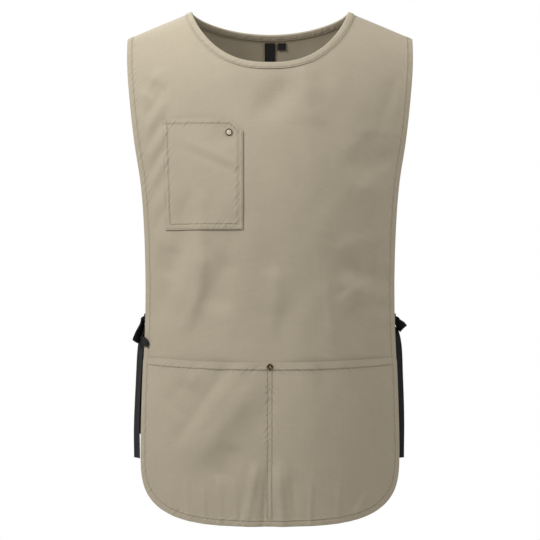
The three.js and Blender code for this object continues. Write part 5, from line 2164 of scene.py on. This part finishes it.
@dataclass
class Tie:
    """The bow at one side, and the two tapes that are tied in it.

    Attributes:
        name: left or right, as the wearer has it.
        hand: 1 on the +X side.
        front: form of the front panel.
        back: form of the back panel.
        loop_end: where the front tape's loop is folded over.
        loop_lean: the way that its width points.
        tail_out: how far out the tails hang.
        tail_top: how far out they start.
        tail_lean: the way that their width points.
        over_the_edge: whether the second loop lies over the front panel's edge.
        lengths: of the front and the back tape, in metres.
        steps: columns from one station to the next.
        gathers: height of the creases of a gathered tape, how many cross it, and their pitch.
        waves: height of the waves of a free tape, their pitch, and how much they slant.
        cup: how much the edges of a free tape stand up.
        wrap_folds: bulge of the knot's turn, and height of its creases.
        wrap_radius: mean radius of that turn.
    """

    name: str
    hand: int
    front: PanelForm
    back: PanelForm
    loop_end: Triple
    loop_lean: Triple
    tail_out: float
    tail_top: float
    tail_lean: Triple
    over_the_edge: bool
    lengths: tuple[float, float]
    steps: int = 8
    gathers: Triple = (0.55, 7.0, 9.0)
    waves: Triple = (0.35, 23.0, 0.8)
    cup: float = 0.4
    wrap_folds: tuple[float, float] = (0.35, 0.15)
    wrap_radius: float = 6.0

    def at(self, out: float, forward: float, up: float) -> Array:
        """Returns a point given from the knot's middle."""
        knot = self.hand * (float(self.front.half_width(np.array(TIE_DOWN))) - KNOT_IN)
        return np.array([knot + self.hand * out, -forward, SEAT_DROP - TIE_DOWN + up])

    def stop(self, station: Station) -> Stop:
        """Returns a station turned to the scene's own directions."""
        lean = unit(np.array(station.lean) * (self.hand, -1, 1))
        return Stop(self.at(station.out, station.forward, station.up), station.width, lean)

    def beside_edge(self, form: PanelForm, inset: float, down: float, lift: float, width: float) -> Stop:
        """Finds a station over or under a panel.

        Args:
            form: the panel's form.
            inset: from its side edge.
            down: from the knot.
            lift: off the middle of its cloth.
            width: share of the tape's width.

        Returns:
            The station.
        """
        height = TIE_DOWN + down
        x = self.hand * (float(form.half_width(np.array(height))) - inset)
        point = form.on(place_at(x, height)[None], np.array([lift]))[0]
        return Stop(point, width, np.array(UPRIGHT))

    def root(self, form: PanelForm) -> list[Stop]:
        """Returns the stations where a tape is sewn to the inside of a hem and leaves it."""
        return [self.beside_edge(form, inset, 0, ROOT_LIFT, 1) for inset in ROOT_INSETS]

    def tail(self, length: float, offs: Sequence[float]) -> list[Stop]:
        """Returns the stations of a tail.

        Args:
            length: from the knot to its end.
            offs: how far each station is held off the front tape's tail.

        Returns:
            The stations from the knot down.
        """
        rows = (
            (self.tail_top - 4.5, -18.0, 0.85),
            (self.tail_top, -38.0, 0.95),
            (self.tail_out * 0.85, -TAIL_LENGTH * 0.45, 1.0),
            (self.tail_out, -TAIL_LENGTH * 0.75, 1.0),
            (self.tail_out, -length, 1.0),
        )
        lean = self.tail_lean
        return [
            self.stop(Station(out + off * lean[1], -STRAND - off * lean[0], up, width, lean))
            for (out, up, width), off in zip(rows, offs)
        ]

    def loop(self, start: Triple, end: Triple, lean: Triple) -> list[Stop]:
        """Lays a flat loop out to its end and back beside itself.

        Args:
            start: where it leaves the knot, from the knot's middle.
            end: where it is folded over.
            lean: the way that its width points.

        Returns:
            Its stations.
        """
        first, last, across = (np.array(values, float) for values in (start, end, lean))
        along = unit(last - first)
        across = unit(across - along * across.dot(along))
        face = np.cross(along, across)
        face = -face if face[1] < 0 else face
        stops = []
        for way, width, off in LOOP_STATIONS:
            place = first + (last - first) * way + face * off * STRAND
            stops.append(self.stop(Station(*place, width, tuple(across))))
        return stops

    def strip(self, stops: list[Stop], phase: float) -> tuple[Array, Array]:
        """Sweeps the tape along its stations, creased where it is gathered.

        Args:
            stops: the stations.
            phase: where its creases start.

        Returns:
            Rows across of points along, and the way along at each column.
        """
        middle = smooth_path(np.array([stop.place for stop in stops]), self.steps)
        along = unit(np.gradient(middle, axis=0))
        known = np.arange(len(stops)) * self.steps
        aim = np.arange(len(middle))
        leans = np.stack([np.interp(aim, known, [s.lean[k] for s in stops]) for k in range(3)], -1)
        widths = np.interp(aim, known, [s.width for s in stops])
        leans = unit(leans - along * (leans * along).sum(1, keepdims=True))
        faces = np.cross(along, leans)
        run = way_along(middle)
        rows = []
        crease_height, creases, crease_pitch = self.gathers
        wave_height, wave_pitch, slant = self.waves
        for c in np.linspace(-1, 1, 11):
            crease = crease_height * (1 - widths) * np.sin(c * creases + phase + run / crease_pitch)
            wave = wave_height * np.sin(run / wave_pitch + phase * 2 + c * slant) + self.cup * c * c
            off = (crease + widths * wave)[:, None]
            rows.append(middle + leans * (c * widths * TAPE_WIDTH / 2)[:, None] + faces * off)
        return np.stack(rows), run

    def wrap(self) -> tuple[Array, Array]:
        """Turns the tape round the two strands.

        Returns:
            Rows across of points along, and the way along at each column.
        """
        turns = np.linspace(0, math.tau, 41)
        bulge, crease = self.wrap_folds
        rows = []
        for c in np.linspace(-1, 1, 9):
            off = bulge * (1 - c * c) + crease * np.sin(c * 8 + 2 * np.sin(turns))
            forward, up = np.cos(turns) * (WRAP_FORWARD + off), np.sin(turns) * (WRAP_UP + off)
            rows.append(np.stack([self.at(c * WRAP_WIDTH / 2, f, u) for f, u in zip(forward, up)]))
        return np.stack(rows), turns * self.wrap_radius

    def second_loop(self) -> list[Stop]:
        """Lays the back tape's loop over the panel's edge, or tucks it in behind the panel.

        Returns:
            Its stations.
        """
        first = COMING_DOWN[0]
        if not self.over_the_edge:
            start = (-1.0, first.forward, -1.0)
            return [self.stop(first), *self.loop(start, TUCKED_LOOP_END, TUCKED_LOOP_LEAN)]
        over = [self.beside_edge(self.front, *row) for row in OVER_EDGE]
        return [*(self.stop(station) for station in COMING_DOWN), *over]

    def build(self, finishes: Finishes) -> list[bpy.types.Object]:
        """Args:
            finishes: the materials.

        Returns:
            The front and the back tape.
        """
        front_stops = [
            *self.root(self.front),
            *(self.stop(station) for station in FRONT_TAPE_IN),
            *self.loop(LOOP_START, self.loop_end, self.loop_lean),
            *(self.stop(station) for station in FRONT_TAPE_OUT),
            *self.tail(TAIL_LENGTH, (0, 0, 0, 0, 0)),
        ]
        lead = [*self.root(self.back), *(self.stop(station) for station in BACK_TAPE_IN)]
        tail = [
            *(self.stop(station) for station in BACK_TAPE_OUT),
            *self.tail(BACK_TAIL_LENGTH, BACK_TAIL_OFFS),
        ]
        front = self.tape("front_tape", [self.strip(front_stops, 0.4)], self.lengths[0], finishes)
        strips = [self.strip(lead, 1.1), self.strip(tail, 2.3)]
        strips += [self.strip(self.second_loop(), 3.0), self.wrap()]
        back = self.tape("back_tape", strips, self.lengths[1], finishes)
        return [front, back]

    def tape(
        self, name: str, strips: list[tuple[Array, Array]], length: float, finishes: Finishes
    ) -> bpy.types.Object:
        """Makes one tape of its strips.

        Args:
            name: front_tape or back_tape.
            strips: rows of points and the way along, for each strip.
            length: of the tape, in metres; not used.
            finishes: the materials.

        Returns:
            The tape.
        """
        node = f"{self.name}_{name}"
        mesh = bmesh.new()
        layers = (mesh.loops.layers.uv.new("pattern"), mesh.loops.layers.uv.new("seam"))
        for points, along in strips:
            across = np.linspace(0, TAPE_WIDTH, len(points))
            add_strip(mesh, layers, points, along, across, across)
        bmesh.ops.remove_doubles(mesh, verts=mesh.verts, dist=1e-7)
        piece = finished(f"{node}_woven", as_mesh(node, mesh))
        thicken(piece, TAPE_CLOTH)
        dress(piece, finishes.tape)
        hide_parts(node)
        total = sum(way_along(points[len(points) // 2])[-1] for points, along in strips)
        LOG.info("%s: %.0f mm of tape", node, total)
        return piece


@dataclass(frozen=True)
class Light:
    """A soft square light that looks at the middle of the apron.

    Attributes:
        name: of the light.
        place: where it stands.
        size: how wide it is.
        power: in watts.
        aim: the point that it looks at.
    """

    name: str
    place: Triple
    size: float
    power: float
    aim: Triple = (0.0, 0.0, -0.35)

    def build(self) -> None:
        """Adds the light to the scene."""
        data = bpy.data.lights.new(self.name, "AREA")
        data.size = self.size
        data.energy = self.power
        lamp = bpy.data.objects.new(self.name, data)
        bpy.context.scene.collection.objects.link(lamp)
        lamp.location = self.place
        lamp.visible_camera = False
        way = Vector(self.aim) - Vector(self.place)
        lamp.rotation_euler = way.to_track_quat("-Z", "Y").to_euler()


@dataclass
class Studio:
    """The camera, the lights and the floor.

    Attributes:
        distance: from the camera to the shoulder line.
        height: of the camera.
        focal: focal length in pixels of the photograph.
        frame: width of the photograph in pixels.
        sensor: width of the camera's sensor, in millimetres.
        lights: the soft lights.
        sky: strength of the light from all round.
        warm: its linear colour.
        floor_down: how far the floor lies below the middle of the shoulder line.
        floor_radius: of the round floor.
        floor_colour: its linear colour.
    """

    distance: float = 3.0
    height: float = -0.3605
    focal: float = 2027.0
    frame: float = 540.0
    sensor: float = 36.0
    lights: tuple[Light, ...] = (
        Light("key", (-1.3, -0.95, 0.9), size=0.8, power=40),
        Light("fill", (1.3, -0.95, 0.9), size=0.8, power=21),
        Light("rear", (-0.9, 1.3, 1.0), size=1.0, power=30),
    )
    sky: float = 0.18
    warm: Triple = (1.0, 0.93, 0.84)
    floor_down: float = 1.3
    floor_radius: float = 1.5
    floor_colour: Triple = (0.86, 0.86, 0.85)

    def build(self) -> None:
        """Sets up the whole studio."""
        scene = bpy.context.scene
        camera = bpy.data.objects.new("camera", bpy.data.cameras.new("camera"))
        scene.collection.objects.link(camera)
        camera.data.sensor_width = self.sensor
        camera.data.lens = self.focal / self.frame * self.sensor
        camera.location = (0, -self.distance, self.height)
        camera.rotation_euler = (math.pi / 2, 0, 0)
        scene.camera = camera
        for light in self.lights:
            light.build()
        self._sky()
        self._floor()
        scene.view_settings.view_transform = "Standard"

    def _sky(self) -> None:
        """Lights the room from all round, before a white backdrop."""
        world = bpy.data.worlds.new("room")
        world.use_nodes = True
        nodes = Nodes(world.node_tree)
        seen = nodes.add("ShaderNodeLightPath").outputs["Is Camera Ray"]
        colour = nodes.mix(seen, shade_of(self.warm), (1, 1, 1, 1))
        power = nodes.plus(self.sky, nodes.times(seen, 1 - self.sky))
        background = nodes.add("ShaderNodeBackground", {0: colour, 1: power}).outputs[0]
        nodes.add("ShaderNodeOutputWorld", {0: background})
        bpy.context.scene.world = world

    def _floor(self) -> None:
        """Lays a plain pale floor."""
        flat = bmesh.new()
        bmesh.ops.create_circle(flat, cap_ends=True, segments=96, radius=self.floor_radius)
        bmesh.ops.translate(flat, verts=flat.verts, vec=(0, 0, -self.floor_down))
        floor = bpy.data.objects.new("floor", as_mesh("floor", flat))
        bpy.context.scene.collection.objects.link(floor)
        material, nodes = new_material("pale_floor")
        nodes.show(shade_of(self.floor_colour), 0.9)
        floor.data.materials.append(material)


@dataclass
class Apron:
    """The whole apron, assembled from its forms.

    Attributes:
        front: form of the front panel.
        back: form of the back panel.
    """

    front: PanelForm = field(
        default_factory=lambda: PanelForm(
            side=Side.FRONT,
            depth=118,
            sections=FRONT_SECTIONS,
            folds=FRONT_FOLDS,
            creases=read_off(FRONT_CREASES),
            neck_drop=84,
            neck_across=2.5,
            neck_down=1.3,
        )
    )
    back: PanelForm = field(
        default_factory=lambda: PanelForm(
            side=Side.BACK,
            depth=112,
            sections=BACK_SECTIONS,
            folds=BACK_FOLDS,
            creases=BACK_CREASES,
            neck_drop=26,
            neck_across=2.0,
            neck_down=1.38,
        )
    )

    def build(self, finishes: Finishes) -> list[bpy.types.Object]:
        """Builds every piece in order and reports it.

        Args:
            finishes: the materials.

        Returns:
            The pieces that stand for CAD nodes.
        """
        front, back = self.front, self.back
        lower, chest = LowerPocket(front), ChestPocket(front)
        flat = (0.43, 0.78)
        parts = [
            PanelPiece(front, "front_panel", flat=flat, area=0.317),
            PanelPiece(back, "back_panel", flat=flat, area=0.319),
            NeckBinding(front, back),
            lower,
            chest,
            Rivet("pocket_rivet", front, lower.rivet, lift=2.5, diameter=9.2, ring=0.5, bright=False),
            Rivet("chest_rivet", front, chest.rivet, lift=2.7, diameter=10.4, ring=0.3, bright=True),
            Label("neck_label", back, x=0, width=16, height=40),
            Label("size_label", back, x=17.8, width=13, height=10),
        ]
        pieces = [part.build(finishes) for part in parts]
        for tie in self.ties():
            pieces += tie.build(finishes)
        for piece in pieces:
            LOG.info("%s: %d faces", piece.name, len(piece.data.polygons))
        return pieces

    def ties(self) -> list[Tie]:
        """Sets out the bows at both of the wearer's sides.

        Returns:
            The right and the left bow.
        """
        left = Tie(
            name="left",
            hand=1,
            front=self.front,
            back=self.back,
            loop_end=(15, 2.2, -14.4),
            loop_lean=(0.43, 0.765, 0.48),
            tail_out=9,
            tail_top=5.5,
            tail_lean=(-0.8, 0.6, 0),
            over_the_edge=False,
            lengths=(0.3, 0.275),
        )
        right = Tie(
            name="right",
            hand=-1,
            front=self.front,
            back=self.back,
            loop_end=(16.2, 5, -33.4),
            loop_lean=(0.38, 0.874, 0.304),
            tail_out=14.5,
            tail_top=8.5,
            tail_lean=(-0.45, 0.89, 0),
            over_the_edge=True,
            lengths=(0.33, 0.27),
        )
        return [right, left]


def main() -> None:
    """Builds the apron and its studio."""
    logging.basicConfig(level=logging.INFO, format="%(name)s %(message)s")
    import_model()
    Studio().build()
    Apron().build(Finishes.make())
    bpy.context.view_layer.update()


if __name__ == "__main__":
    main()
